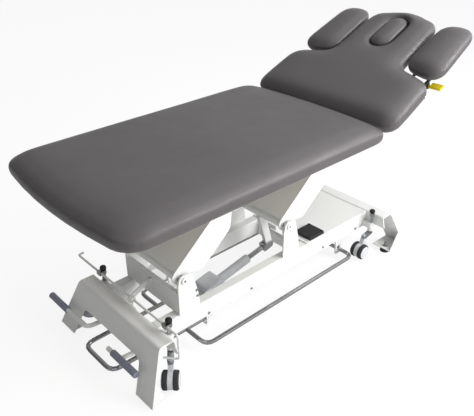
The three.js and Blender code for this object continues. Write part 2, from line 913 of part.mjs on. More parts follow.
function actuatorHousing() {
  const eye = rodAlongY(0, 0, actuator.eye - gap, -0.5 * actuator.eyeWidth, 0.5 * actuator.eyeWidth);
  const neck = block(
    0, actuator.motorStart + actuator.eye, -0.5 * actuator.eyeWidth, 0.5 * actuator.eyeWidth,
    -0.6 * actuator.eye, 0.6 * actuator.eye,
  );
  const motorTop = actuator.motorHeight - actuator.motorDrop;
  const motor = alongY(shapeOf(outline([
    [actuator.motorStart, -actuator.motorDrop, actuator.eye],
    [actuator.motorStart + actuator.motorLength, -actuator.motorDrop, actuator.eye],
    [actuator.motorStart + actuator.motorLength, motorTop, actuator.eye],
    [actuator.motorStart, motorTop, actuator.eye],
  ])), -0.5 * actuator.motorWidth, 0.5 * actuator.motorWidth);
  const turn = new THREE.Matrix4().makeBasis(axisY, axisZ, axisX);
  const tube = extruded(shapeOf(circle(0, 0, actuator.tube)), actuator.tubeEnd - actuator.motorStart)
    .applyMatrix4(turn).translate(actuator.motorStart, 0, 0);
  const boreLength = actuator.tubeEnd - actuator.boreStart + overrun;
  const bore = extruded(shapeOf(circle(0, 0, actuator.rod + gap)), boreLength)
    .applyMatrix4(turn).translate(actuator.boreStart, 0, 0);
  const pinHole = rodAlongY(0, 0, actuator.pin + gap, -actuator.eyeWidth, actuator.eyeWidth);
  return cut(join(eye, neck, motor, tube), bore, pinHole);
}
place(actuatorGroup, "actuator_housing", actuatorHousing(), greyPlastic);

const rearPinReach = eyeGap + crossbar.lug + shaft.boss;
const rearPin = rodAlongY(0, 0, actuator.pin, -rearPinReach, rearPinReach);
place(actuatorGroup, "actuator_rear_pin", rearPin, zincSteel);

function actuatorRod() {
  const turn = new THREE.Matrix4().makeBasis(axisY, axisZ, axisX);
  const forkBack = actuatorRun - actuator.forkReach;
  const rod = extruded(shapeOf(circle(0, 0, actuator.rod)), forkBack - actuator.rodStart)
    .applyMatrix4(turn).translate(actuator.rodStart, 0, 0);
  const outerY = actuator.forkGap + actuator.forkCheek;
  const half = 0.5 * actuator.forkHeight;
  const cheeks = alongY(shapeOf(outline([
    [forkBack, -half],
    [actuatorRun + half, -half, half - gap],
    [actuatorRun + half, half, half - gap],
    [forkBack, half],
  ])), -outerY, outerY);
  const mouth = block(
    forkBack + actuator.forkCheek, actuatorRun + actuator.forkHeight,
    -actuator.forkGap, actuator.forkGap, -actuator.forkHeight, actuator.forkHeight,
  );
  return join(rod, cut(cheeks, mouth));
}
place(actuatorGroup, "actuator_rod", actuatorRod(), chrome);

// Lift arms: two webs and a flange bent from one sheet round a torsion tube

function liftArm(withLever) {
  const web = outline([
    [-arm.endRadius, -arm.endRadius, arm.endRadius - gap],
    [0.4 * arm.taper, -arm.endRadius, arm.endRadius],
    [arm.taper, -arm.depth + arm.flangeTop, arm.endRadius],
    [arm.length - arm.taper, -arm.depth + arm.flangeTop, arm.endRadius],
    [arm.length - 0.3 * arm.taper, -arm.endRadius, arm.endRadius],
    [arm.length + arm.endRadius, -arm.endRadius, arm.endRadius - gap],
    [arm.length + arm.endRadius, arm.flangeTop, arm.endRadius],
    [-arm.endRadius, arm.flangeTop, arm.endRadius],
  ]);
  const parts = sides.map(([, sign]) => {
    const near = sign < 0 ? -arm.halfWidth : arm.halfWidth - arm.web;
    return alongY(shapeOf(web), near, near + arm.web);
  });
  parts.push(block(
    overrun, arm.length - overrun, -arm.halfWidth, arm.halfWidth, arm.flangeTop - arm.web, arm.flangeTop,
  ));
  const tubeReach = arm.halfWidth - 0.5 * arm.web;
  const bores = [0, arm.length].map((x) => {
    parts.push(rodAlongY(x, 0, arm.torsionTube, -tubeReach, tubeReach));
    return rodAlongY(x, 0, shaft.radius + gap, -tubeReach - arm.web, tubeReach + arm.web);
  });
  if (withLever) {
    const spin = armAngle;
    const pinX = lever.reach * Math.cos(spin) - leverDrop * Math.sin(spin);
    const pinZ = -lever.reach * Math.sin(spin) - leverDrop * Math.cos(spin);
    parts.push(leverPlate(pinX, pinZ));
  }
  return cut(join(...parts), ...bores);
}

// A tapering lever from the torsion tube to the actuator's fork
function leverPlate(pinX, pinZ) {
  const long = Math.hypot(pinX, pinZ);
  const turn = Math.atan2(pinZ, pinX);
  const points = outline([
    [0.8 * arm.torsionTube, -0.5 * lever.root],
    [long, -lever.radius],
    [long + lever.radius, -lever.radius, lever.radius - gap],
    [long + lever.radius, lever.radius, lever.radius - gap],
    [long, lever.radius],
    [0.8 * arm.torsionTube, 0.5 * lever.root],
  ]);
  const cosTurn = Math.cos(turn);
  const sinTurn = Math.sin(turn);
  const turned = points.map((p) => new THREE.Vector2(
    p.x * cosTurn - p.y * sinTurn, p.x * sinTurn + p.y * cosTurn,
  ));
  return alongY(shapeOf(turned), -lever.half, lever.half);
}

pivots.forEach(([end, x]) => {
  const holder = new THREE.Group();
  holder.position.set(x, 0, liftPivot.z);
  holder.rotation.y = -armAngle;
  table.add(holder);
  place(holder, `${end}_lift_arm`, liftArm(end === "head"), whitePaint);
});

// Top frame with its hanging brackets and the upper shafts

const gasSpring = {
  x: topFrame.headX + 20,
  drop: 50, // below the frame
  headS: 166, // along the head section from its hinge
  headT: -84,
  eye: 9,
  eyeWidth: 10,
  pin: 4,
  body: 11,
  bodyStart: 18,
  bodyEnd: 178,
  rod: 5,
  rodStart: 96,
  boreStart: 34,
  lug: 5,
  forkGap: 5.5,
  forkCheek: 4,
  forkReach: 20,
  forkHeight: 18,
};
const springZ = frameBottom - gasSpring.drop;

function hangingBracket(x, sign) {
  const points = outline([
    [x - topFrame.lug, frameBottom + sheet],
    [x - topFrame.lug, upperZ, upright.bracketRound],
    [x - 0.7 * topFrame.lug, upperZ - 0.7 * topFrame.lug, upright.topRadius],
    [x + 0.7 * topFrame.lug, upperZ - 0.7 * topFrame.lug, upright.topRadius],
    [x + topFrame.lug, upperZ, upright.bracketRound],
    [x + topFrame.lug, frameBottom + sheet],
  ]);
  const near = sign < 0 ? -upright.outer : upright.outer - plateThick;
  const hole = circle(x, upperZ, shaft.radius + gap);
  return alongY(shapeOf(points, hole), near, near + plateThick);
}

function hingeBracket(sign) {
  const { x, z, lug, pin } = headHinge;
  const low = 0.6 * lug;
  const points = outline([
    [topFrame.headX - 3 * lug, frameBottom + low],
    [x - 2 * lug, frameBottom],
    [x + lug, z - lug, lug - gap],
    [x + lug, z + lug, lug - gap],
    [x - lug, z + lug, lug - gap],
    [x - 2 * lug, frameBottom + 1.3 * lug],
    [topFrame.headX - 3 * lug, frameBottom + 2 * lug],
  ]);
  const outer = topFrame.side + topFrame.tube;
  const near = sign < 0 ? -outer - plateThick + overrun : outer - overrun;
  return alongY(shapeOf(points, circle(x, z, pin + gap)), near, near + plateThick);
}

function topFrameSolid() {
  const inner = topFrame.side;
  const outer = topFrame.side + topFrame.tube;
  const parts = sides.map(([, sign]) => block(
    topFrame.footX, topFrame.headX,
    Math.min(sign * inner, sign * outer), Math.max(sign * inner, sign * outer),
    frameBottom, frameTop,
  ));
  const middle = liftPivot.footX + advance - topFrame.tube;
  [topFrame.footX, middle, topFrame.headX - topFrame.tube].forEach((x) => {
    parts.push(block(x, x + topFrame.tube, -inner - sheet, inner + sheet, frameBottom, frameTop));
  });
  sides.forEach(([, sign]) => {
    pivots.forEach(([, x]) => parts.push(hangingBracket(x + advance, sign)));
    parts.push(hingeBracket(sign));
  });
  const eyeHalf = 0.5 * gasSpring.eyeWidth + gap;
  sides.forEach(([, sign]) => {
    const points = outline([
      [topFrame.headX - topFrame.tube, frameBottom + sheet],
      [topFrame.headX - topFrame.tube, frameBottom - gasSpring.eye],
      [gasSpring.x - gasSpring.eye, springZ - gasSpring.eye, gasSpring.eye],
      [gasSpring.x + gasSpring.eye, springZ - gasSpring.eye, gasSpring.eye - gap],
      [gasSpring.x + gasSpring.eye, springZ + gasSpring.eye, gasSpring.eye],
      [topFrame.headX, frameBottom - gasSpring.eye],
      [topFrame.headX, frameBottom + sheet],
    ]);
    const near = sign < 0 ? -eyeHalf - gasSpring.lug : eyeHalf;
    const hole = circle(gasSpring.x, springZ, gasSpring.pin + gap, coarseRoundness);
    parts.push(alongY(shapeOf(points, hole), near, near + gasSpring.lug));
  });
  return join(...parts);
}
place(table, "top_frame", topFrameSolid(), whitePaint);
pivots.forEach(([end, x]) => {
  const reach = upright.outer + shaft.boss;
  const bar = rodAlongY(x + advance, upperZ, shaft.radius, -reach, reach);
  place(table, `${end}_upper_shaft`, bar, zincSteel);
});

// Main section: board and cushion

const mainPad = {
  footStart: -8, // where the foot end's corners lie; its middle swells out by the foot arch
  footArch: 20,
  footCorner: 84,
  headCorner: 40,
  endArch: 18,
  archPoints: 6,
  under: 13,
  crown: 10,
  crownReach: 110,
  longest: 95,
};

// A straight run from a to b that swells by depth in the middle
function archedRun(a, b, depth, count) {
  const run = b.clone().sub(a);
  const out = new THREE.Vector2(run.y, -run.x).normalize();
  return Array.from({ length: count - 1 }, (_, i) => {
    const share = (i + 1) / count;
    return a.clone().addScaledVector(run, share).addScaledVector(out, 4 * depth * share * (1 - share));
  });
}

function mainOutline(inset) {
  const half = 0.5 * couch.width - inset;
  const startX = mainPad.footStart + inset;
  const endX = couch.mainLength - mainPad.endArch - inset;
  const near = mainPad.footCorner - inset;
  const far = mainPad.headCorner - 0.5 * inset;
  const right = outline([
    [startX, -half, near],
    [endX, -half, far],
    [endX, half, far],
    [startX, half, near],
  ], 7);
  const arch = [];
  right.forEach((p, k) => {
    arch.push(p);
    const next = right[(k + 1) % right.length];
    [[startX, mainPad.footArch], [endX, mainPad.endArch]].forEach(([x, depth]) => {
      const along = Math.abs(p.x - x) < gap && Math.abs(next.x - x) < gap;
      if (along && p.distanceTo(next) > far) arch.push(...archedRun(p, next, depth, mainPad.archPoints));
    });
  });
  return arch;
}

const board = upward(shapeOf(mainOutline(couch.boardInset)), boardBottom, boardTop);
place(table, "main_board", board, plywood);

const mainFoot = mainPad.footStart - mainPad.footArch;
const mainMiddle = 0.5 * (mainFoot + couch.mainLength);
const mainCushion = stuffed(
  evened(mainOutline(0), mainPad.longest),
  padRings({ ...mainPad, thick: couch.cushion, roll: cushionRoll }),
  shrinkAbout(mainMiddle, couch.mainLength - mainMiddle, 0.5 * couch.width),
).translate(0, 0, cushionBottom);
place(table, "main_cushion", mainCushion, leatherette);

// Head section, built flat from its hinge and turned up as one group

const headGroup = new THREE.Group();
headGroup.position.set(headHinge.x, 0, headHinge.z);
headGroup.rotation.y = -tilt;
table.add(headGroup);
const headCushionT = cushionBottom - headHinge.z; // levels above the hinge axis
const headBoardT = headCushionT - gap;
const headFrameT = headBoardT - couch.board - gap;

const headPad = {
  nearCorner: 58,
  shoulderCorner: 74,
  neckCorner: 42,
  columnCorner: 66,
  neckFlare: 8,
  under: 20,
  crown: 9,
  crownReach: 18,
  longest: 60,
  waist: 10, // how far the outer side is drawn in at the shoulders
};
const faceHole = { s: 483, halfLength: 96, halfWidth: 48, funnel: 27, funnelDepth: 22 };

function headOutline(inset) {
  const half = head.halfWidth - inset;
  const column = columnHalf - inset;
  const end = head.columnEnd - inset;
  const side = [
    [head.start + inset, half, Math.max(headPad.nearCorner - inset, inset)],
    [head.start + inset, -half, Math.max(headPad.nearCorner - inset, inset)],
    [head.shoulderOuter - inset, -half + headPad.waist, headPad.shoulderCorner - inset],
    [head.shoulderInner - inset, -column - headPad.neckFlare, headPad.neckCorner + inset],
    [end, -column + headPad.neckFlare, headPad.columnCorner - inset],
    [end, column - headPad.neckFlare, headPad.columnCorner - inset],
    [head.shoulderInner - inset, column + headPad.neckFlare, headPad.neckCorner + inset],
    [head.shoulderOuter - inset, half - headPad.waist, headPad.shoulderCorner - inset],
  ];
  const flat = outline(side, 6);
  const arch = [];
  flat.forEach((p, k) => {
    arch.push(p);
    const next = flat[(k + 1) % flat.length];
    const atEnd = Math.abs(p.x - end) < gap && Math.abs(next.x - end) < gap;
    if (atEnd && p.distanceTo(next) > head.endArch) {
      arch.push(...archedRun(p, next, head.endArch, mainPad.archPoints));
    }
  });
  return arch;
}

// An oblong with round ends about the middle of the face hole
function oblong(halfLength, halfWidth) {
  const near = faceHole.s - halfLength;
  const far = faceHole.s + halfLength;
  const round = halfWidth - gap;
  return outline([
    [near, -halfWidth, round],
    [far, -halfWidth, round],
    [far, halfWidth, round],
    [near, halfWidth, round],
  ], 6);
}

function headCushion() {
  const body = stuffed(
    evened(headOutline(0), headPad.longest),
    padRings({ ...headPad, thick: couch.cushion, roll: cushionRoll }),
    alongNormals,
    false,
  );
  const face = shapeOf(oblong(faceHole.halfLength, faceHole.halfWidth));
  const hole = upward(face, -overrun, couch.cushion + overrun);
  const funnelSteps = 3;
  const rings = Array.from({ length: funnelSteps + 1 }, (_, k) => {
    const share = k / funnelSteps;
    return [-faceHole.funnel * share * share, couch.cushion - faceHole.funnelDepth * (1 - share)];
  });
  rings.push([-1.2 * faceHole.funnel, couch.cushion + overrun]);
  rings.unshift([0.5 * faceHole.funnel, couch.cushion - faceHole.funnelDepth - overrun]);
  const funnel = stuffed(oblong(faceHole.halfLength, faceHole.halfWidth), rings, alongNormals);
  return cut(body, hole, funnel);
}
place(headGroup, "head_cushion", headCushion().translate(0, 0, headCushionT), leatherette);

const boardStart = 2.2 * headHinge.lug;
function headBoard() {
  const whole = upward(
    shapeOf(headOutline(head.boardInset), oblong(faceHole.halfLength, faceHole.halfWidth)),
    headBoardT - couch.board, headBoardT,
  );
  const nearCut = block(
    head.start - overrun, boardStart, -couch.width, couch.width, -couch.width, couch.width,
  );
  return cut(whole, nearCut);
}
place(headGroup, "head_board", headBoard(), plywood);

// The plug fills the face hole and lifts out
const plug = { clear: 0.35, thick: 78, roll: 20, crown: 7, under: 6, crownReach: 14 };
const plugBody = stuffed(
  oblong(faceHole.halfLength - plug.clear, faceHole.halfWidth - plug.clear),
  padRings(plug),
  (points, inset) => points.map((p) => new THREE.Vector2(
    faceHole.s + (p.x - faceHole.s) * (1 - inset / faceHole.halfLength),
    p.y * (1 - inset / faceHole.halfWidth),
  )),
).translate(0, 0, headCushionT);
place(headGroup, "face_plug", plugBody, leatherette);

// Head frame: two long tubes, cross tubes, hinge eyes and a bracket for the gas spring

const lugFar = topFrame.side + topFrame.tube - overrun - gap;
const headFrame = {
  outer: lugFar - 0.5 * plateThick,
  start: 22,
  end: 292,
  crossS: [153, 340],
  innerSide: 72,
  innerEnd: 572,
};
const armrest = {
  hingeS: 276,
  hingeT: -6,
  padStart: 291,
  padEnd: 613,
  nearGap: 9, // inner edge from the head section's column
  farGap: 7,
  nearEdge: 4, // outer edge in from the head section's side
  farEdge: 31,
  slant: 36,
  thick: 58,
  topBelow: 6, // under the head cushion's top
  plate: 5,
  plateInset: 26,
  rod: 6,
  rodInset: 36,
  tube: 11,
  boss: 14,
  shaftEdge: 47,
  bendRadius: 14,
  under: 14,
  roll: 26,
  crown: 8,
  crownReach: 14,
  longest: 55,
};
const lock = {
  s: 322,
  t: 3,
  radius: 5,
  start: 206,
  edge: 13,
  grip: 46,
  gripWidth: 24,
  gripThick: 10,
  lug: 5,
  eye: 9,
};

const armShares = { corner: 0.4, plateCorner: 0.9 };
const armNearInner = columnHalf + armrest.nearGap;
const armFarInner = columnHalf + armrest.farGap;
const armShaftEnd = head.halfWidth - armrest.shaftEdge;
const armNearOuter = head.halfWidth - armrest.nearEdge;
const armFarOuter = head.halfWidth - armrest.farEdge;
const armCorner = armShares.corner * (armFarOuter - armFarInner);
const lockEnd = head.halfWidth - lock.edge;

function headFrameSolid() {
  const top = headFrameT;
  const bottom = headFrameT - head.frameHeight;
  const outer = headFrame.outer;
  const inner = outer - head.frameTube;
  const parts = sides.map(([, sign]) => block(
    headFrame.start, headFrame.end,
    Math.min(sign * inner, sign * outer), Math.max(sign * inner, sign * outer), bottom, top,
  ));
  const near = headFrame.innerSide;
  const far = near + head.frameTube;
  const reaches = [inner + sheet, near + sheet];
  headFrame.crossS.forEach((s, i) => {
    parts.push(block(s, s + head.frameTube, -reaches[i], reaches[i], bottom, top));
  });
  sides.forEach(([, sign]) => parts.push(block(
    headFrame.crossS[0] + sheet, headFrame.innerEnd,
    Math.min(sign * near, sign * far), Math.max(sign * near, sign * far), bottom, top,
  )));
  sides.forEach(([, sign]) => {
    const lug = alongY(shapeOf(outline([
      [headFrame.start + head.frameTube, bottom],
      [headFrame.start + head.frameTube, top],
      [headFrame.start, top],
      [-headHinge.lug, headHinge.lug, 0.8 * headHinge.lug],
      [-headHinge.lug, -headHinge.lug, 0.8 * headHinge.lug],
      [headHinge.lug, -headHinge.lug],
    ]), circle(0, 0, headHinge.pin + gap)), sign < 0 ? -lugFar : lugFar - plateThick,
    sign < 0 ? plateThick - lugFar : lugFar);
    parts.push(lug);
  });
  const springHalf = gasSpring.forkGap - 2 * gap;
  const post = alongY(shapeOf(outline([
    [gasSpring.headS - gasSpring.eye, bottom + sheet],
    [gasSpring.headS - gasSpring.eye, gasSpring.headT - gasSpring.eye, 0.8 * gasSpring.eye],
    [gasSpring.headS + gasSpring.eye, gasSpring.headT - gasSpring.eye, 0.8 * gasSpring.eye],
    [gasSpring.headS + gasSpring.eye, bottom + sheet],
  ])), -springHalf, springHalf);
  parts.push(post);
  parts.push(rodAlongY(armrest.hingeS, armrest.hingeT, armrest.rod, -armShaftEnd, armShaftEnd));
  return join(...parts);
}
place(headGroup, "head_frame", headFrameSolid(), whitePaint);

// Hinge shaft of the head section, fixed in the top frame
const hingeReach = topFrame.side + topFrame.tube + plateThick - overrun + shaft.boss;
const hingeShaft = rodAlongY(headHinge.x, headHinge.z, headHinge.pin, -hingeReach, hingeReach);
place(table, "head_hinge_shaft", hingeShaft, zincSteel);

// Arm pads on swinging brackets beside the face hole

function armOutline(sign, inset) {
  const corner = armCorner - armShares.plateCorner * inset;
  const corners = [
    [armrest.padStart + armrest.slant + inset, armNearInner + inset, corner],
    [armrest.padEnd - inset, armFarInner + inset, corner],
    [armrest.padEnd - inset, armFarOuter - inset, corner],
    [armrest.padStart + inset, armNearOuter - inset, corner],
  ];
  const turned = sign > 0 ? corners : corners.map(([a, b, r]) => [a, -b, r]).reverse();
  return outline(turned, 4);
}
const padTop = headCushionT + couch.cushion - armrest.topBelow;
const padBottom = padTop - armrest.thick;

function armBracket(sign) {
  const top = padBottom - gap;
  const bottom = top - armrest.plate;
  const plate = upward(shapeOf(armOutline(sign, armrest.plateInset)), bottom, top);
  const rodT = bottom - armrest.rod + 0.2 * armrest.plate;
  const ends = [armNearInner + armrest.rodInset, armFarOuter - armrest.rodInset];
  const solids = ends.flatMap((side) => {
    const y = sign * side;
    const path = [
      new THREE.Vector3(armrest.hingeS, y, armrest.hingeT),
      new THREE.Vector3(armrest.padStart + armrest.rod, y, rodT),
      new THREE.Vector3(armrest.padEnd - armrest.plateInset - armCorner, y, rodT),
    ];
    const rod = bentTube(path, armrest.bendRadius, armrest.rod);
    const boss = rodAlongY(
      armrest.hingeS, armrest.hingeT, armrest.tube, y - armrest.boss, y + armrest.boss, coarseRoundness,
    );
    const lug = alongY(shapeOf(outline([
      [lock.s - lock.eye, rodT],
      [lock.s - lock.eye, lock.t - lock.eye, 0.8 * lock.eye],
      [lock.s + lock.eye, lock.t - lock.eye, 0.8 * lock.eye],
      [lock.s + lock.eye, rodT],
    ])), y - 0.5 * lock.lug, y + 0.5 * lock.lug);
    return [rod, boss, lug];
  });
  const bore = rodAlongY(
    armrest.hingeS, armrest.hingeT, armrest.rod + gap, -couch.width, couch.width,
  );
  const lockBore = rodAlongY(
    lock.s, lock.t, lock.radius + gap, -couch.width, couch.width, coarseRoundness,
  );
  return cut(join(plate, ...solids), bore, lockBore);
}

// Sprung lever with a paddle under the pad, which frees the arm rest
function lockLever(sign) {
  const ends = [sign * lock.start, sign * lockEnd];
  const bar = rodAlongY(
    lock.s, lock.t, lock.radius, Math.min(...ends), Math.max(...ends), coarseRoundness,
  );
  const half = 0.5 * lock.gripThick;
  const points = outline([
    [lock.s - half, lock.t - half, 0.6 * half],
    [lock.s + lock.gripWidth, lock.t - half, 0.6 * half],
    [lock.s + lock.gripWidth, lock.t + half, 0.6 * half],
    [lock.s - half, lock.t + half, 0.6 * half],
  ], 3);
  const near = sign < 0 ? -lockEnd - gap : lockEnd - lock.grip;
  return join(bar, alongY(shapeOf(points), near, near + lock.grip + gap));
}

sides.forEach(([side, sign]) => {
  const points = evened(armOutline(sign, 0), armrest.longest);
  const pad = stuffed(points, padRings(armrest), alongNormals).translate(0, 0, padBottom);
  place(headGroup, `arm_pad_${side}`, pad, leatherette);
  place(headGroup, `arm_bracket_${side}`, armBracket(sign), blackPlastic);
  place(headGroup, `arm_lock_${side}`, lockLever(sign), yellowPlastic);
});

// Gas spring between the top frame and the head frame

const springEnd = new THREE.Vector2(
  headHinge.x + gasSpring.headS * Math.cos(tilt) - gasSpring.headT * Math.sin(tilt),
  headHinge.z + gasSpring.headS * Math.sin(tilt) + gasSpring.headT * Math.cos(tilt),
);
const springRun = Math.hypot(springEnd.x - gasSpring.x, springEnd.y - springZ);
const springGroup = new THREE.Group();
springGroup.position.set(gasSpring.x, 0, springZ);
springGroup.rotation.y = -Math.atan2(springEnd.y - springZ, springEnd.x - gasSpring.x);
table.add(springGroup);

function rodAlongX(radius, from, to, sideCount = roundness) {
  const turn = new THREE.Matrix4().makeBasis(axisY, axisZ, axisX);
  const bar = extruded(shapeOf(circle(0, 0, radius, sideCount)), to - from);
  return bar.applyMatrix4(turn).translate(from, 0, 0);
}

function springBody() {
  const eyeHalf = 0.5 * gasSpring.eyeWidth;
  const eye = rodAlongY(0, 0, gasSpring.eye - gap, -eyeHalf, eyeHalf);
  const neck = rodAlongX(0.8 * eyeHalf, 0, gasSpring.bodyStart + gasSpring.rod, coarseRoundness);
  const body = rodAlongX(gasSpring.body, gasSpring.bodyStart, gasSpring.bodyEnd);
  const bore = rodAlongX(gasSpring.rod + gap, gasSpring.boreStart, gasSpring.bodyEnd + overrun);
  const pinReach = eyeHalf + gap + gasSpring.lug + gasSpring.pin;
  const pin = rodAlongY(0, 0, gasSpring.pin, -pinReach, pinReach, coarseRoundness);
  return cut(join(eye, neck, body, pin), bore);
}
place(springGroup, "gas_spring_body", springBody(), blackPlastic);

function springRod() {
  const back = springRun - gasSpring.forkReach;
  const rod = rodAlongX(gasSpring.rod, gasSpring.rodStart, back + 0.5 * gasSpring.forkCheek);
  const half = 0.5 * gasSpring.forkHeight;
  const outerY = gasSpring.forkGap + gasSpring.forkCheek;
  const cheeks = alongY(shapeOf(outline([
    [back, -half],
    [springRun + half, -half, 0.8 * half],
    [springRun + half, half, 0.8 * half],
    [back, half],
  ])), -outerY, outerY);
  const mouth = block(
    back + gasSpring.forkCheek, springRun + gasSpring.forkHeight,
    -gasSpring.forkGap, gasSpring.forkGap, -gasSpring.forkHeight, gasSpring.forkHeight,
  );
  return join(rod, cut(cheeks, mouth));
}
place(springGroup, "gas_spring_rod", springRod(), chrome);

// Castors on cranked carriages that slide in the posts

const linkRodZ = castor.postTop + castor.travel + castor.clampGap + 0.5 * castor.clampHeight;
const crankBottom = castor.crankTop - castor.crankThick;
const linkRodX = fromEnd(1, castor.postX) - linkRod.fromPin;

function carriage(end, sign) {
  const clampBottom = postTop(end) + castor.travel + castor.clampGap;
  const clampTop = clampBottom + castor.clampHeight;
  const turn = sign < 0 ? crankTurn[end] : -crankTurn[end];
  const pin = rodUp(0, 0, castor.pin, crankBottom + gap, clampTop - gap);
  const plate = upward(shapeOf(outline([
    [-castor.boss, -castor.boss, 0.9 * castor.boss],
    [castor.crank + castor.boss, -castor.boss, 0.9 * castor.boss],
    [castor.crank + castor.boss, castor.boss, 0.9 * castor.boss],
    [-castor.boss, castor.boss, 0.9 * castor.boss],
  ]), circle(castor.crank, 0, castor.stem + 2 * gap, coarseRoundness)), crankBottom, castor.crankTop);
  const crank = plate.rotateZ(turn);
  const clamp = rodUp(0, 0, castor.clamp, clampBottom, clampTop, coarseRoundness);
  const dome = new THREE.LatheGeometry([
    [0, 0],
    [0.7 * castor.cap, 0],
    [0.75 * castor.cap, 0.2 * castor.capHeight],
    [castor.cap, 0.35 * castor.capHeight],
    [castor.cap, 0.6 * castor.capHeight],
    [0.82 * castor.cap, 0.84 * castor.capHeight],
    [0.45 * castor.cap, 0.97 * castor.capHeight],
    [0, castor.capHeight],
  ].map(([r, z]) => new THREE.Vector2(r, z)), coarseRoundness);
  dome.rotateX(Math.PI / 2).translate(0, 0, clampTop - 0.5 * gap);
  const whole = join(pin, crank, clamp, dome);
  if (end === "head") return whole;
  const holder = block(
    -linkRod.fromPin - 2 * linkRod.radius, 0, -castor.clamp, castor.clamp, clampBottom, clampTop,
  );
  const boreReach = castor.clamp + overrun;
  const bore = rodAlongY(-linkRod.fromPin, linkRodZ, linkRod.radius + gap, -boreReach, boreReach);
  return cut(join(whole, holder), bore);
}

const wheelZ = castor.wheel + castor.lift;
const hoodHalf = 0.5 * castor.wheelGap - gap;

// A slab between the two wheels with the swivel stem on top
function castorHood() {
  const top = crankBottom - gap;
  const web = alongY(shapeOf(outline([
    [-castor.stemHead, top],
    [-castor.stemHead, wheelZ, castor.stemHead],
    [castor.trail, wheelZ, castor.stemHead],
    [castor.trail, wheelZ + 0.7 * castor.wheel, castor.stemHead],
    [castor.stemHead, top],
  ])), -hoodHalf, hoodHalf);
  const disc = rodAlongY(castor.trail, wheelZ, castorShares.fork * castor.wheel, -hoodHalf, hoodHalf);
  const head = rodUp(0, 0, castor.stemHead, wheelZ + castor.wheel + 2 * gap, top, coarseRoundness);
  const stem = rodUp(
    0, 0, castor.stem, top - castor.stemHead, castor.crankTop + castor.stemOut, coarseRoundness,
  );
  const axleHole = rodAlongY(
    castor.trail, wheelZ, castor.axle + gap, -castor.wheel, castor.wheel, coarseRoundness,
  );
  return cut(join(web, disc, head, stem), axleHole);
}

function castorWheels() {
  const { wheel, wheelWidth, innerEdge, outerEdge, hubDish } = castor;
  const profile = [
    [castor.axle - gap, 0],
    [wheel - innerEdge, 0],
    [wheel, innerEdge],
    [wheel, wheelWidth - outerEdge],
    [wheel - outerEdge, wheelWidth],
    [castorShares.rim * wheel, wheelWidth - 0.2 * hubDish],
    [castorShares.hub * wheel, wheelWidth - hubDish],
    [castor.axle - gap, wheelWidth - 0.8 * hubDish],
  ].map(([r, along]) => new THREE.Vector2(r, along));
  profile.push(profile[0].clone());
  const parts = sides.map(([, sign]) => {
    const disc = new THREE.LatheGeometry(profile, wheelRoundness);
    if (sign < 0) disc.rotateX(Math.PI);
    return disc.translate(castor.trail, sign * 0.5 * castor.wheelGap, wheelZ);
  });
  const reach = 0.5 * castor.wheelGap + wheelWidth - hubDish;
  parts.push(rodAlongY(castor.trail, wheelZ, castor.axle, -reach, reach, coarseRoundness));
  return join(...parts);
}

ends.forEach(([end, toward]) => {
  sides.forEach(([side, sign]) => {
    const pinX = fromEnd(toward, castor.postX);
    const pinY = sign * castor.postY;
    place(table, `castor_carriage_${end}_${side}`, moved(carriage(end, sign), pinX, pinY, 0), zincSteel);
    const crankAngle = sign < 0 ? crankTurn[end] : -crankTurn[end];
    const swivel = new THREE.Group();
    swivel.position.x = pinX + castor.crank * Math.cos(crankAngle);
    swivel.position.y = pinY + castor.crank * Math.sin(crankAngle);
    swivel.rotation.z = sign < 0 ? swivelTurn[end] : -swivelTurn[end];
    table.add(swivel);
    place(swivel, `castor_hood_${end}_${side}`, castorHood(), hoodPlastic);
    place(swivel, `castor_wheels_${end}_${side}`, castorWheels(), rubber);
  });
});

// Rod across the foot carriages, with a clamp and ear in the middle for the link

function rodWithClamp() {
  const path = [
    new THREE.Vector3(linkRodX + linkRod.hook, linkRod.rear, linkRodZ),
    new THREE.Vector3(linkRodX, linkRod.rear, linkRodZ),
    new THREE.Vector3(linkRodX, linkRod.front, linkRodZ),
    new THREE.Vector3(linkRodX, linkRod.front, linkRodZ - linkRod.drop),
    new THREE.Vector3(linkRodX - linkRod.toStem, linkRod.inFront, linkRodZ - linkRod.drop),
  ];
  const rod = bentTube(path, linkRod.bendRadius, linkRod.radius);
  const collar = block(
    linkRodX - link.ear, linkRodX + link.ear, -2 * link.ear, -0.5 * link.thick - gap,
    linkRodZ - link.ear, linkRodZ + link.ear,
  );
  return join(rod, collar);
}
place(table, "castor_rod", rodWithClamp(), whitePaint);

function castorLink() {
  const long = Math.hypot(linkPin.x - linkRodX, linkPin.z - linkRodZ);
  const far = long + link.slot + link.eye;
  const near = long - link.slot;
  const half = link.width;
  const slotHalf = linkRod.radius + 4 * gap;
  const bar = outline([
    [-link.eye, -half, 0.9 * half],
    [far, -half, 0.9 * half],
    [far, half, 0.9 * half],
    [-link.eye, half, 0.9 * half],
  ]);
  const slot = outline([
    [near, -slotHalf, 0.9 * slotHalf],
    [long + link.slot, -slotHalf, 0.9 * slotHalf],
    [long + link.slot, slotHalf, 0.9 * slotHalf],
    [near, slotHalf, 0.9 * slotHalf],
  ], 3);
  const plate = alongY(shapeOf(bar, slot), -0.5 * link.thick, 0.5 * link.thick);
  const pinReach = 0.5 * link.thick + gap + link.lug + 0.5 * link.pin;
  return join(plate, rodAlongY(0, 0, link.pin, -pinReach, pinReach, coarseRoundness));
}
const linkGroup = new THREE.Group();
linkGroup.position.set(linkPin.x, 0, linkPin.z);
linkGroup.rotation.y = Math.PI - Math.atan2(linkPin.z - linkRodZ, linkPin.x - linkRodX);
table.add(linkGroup);
place(linkGroup, "castor_link", castorLink(), whitePaint);

// Pedals: two bent tubes with rubber grips in front of the foot bridge

const bossReach = 0.7 * pedal.tube;

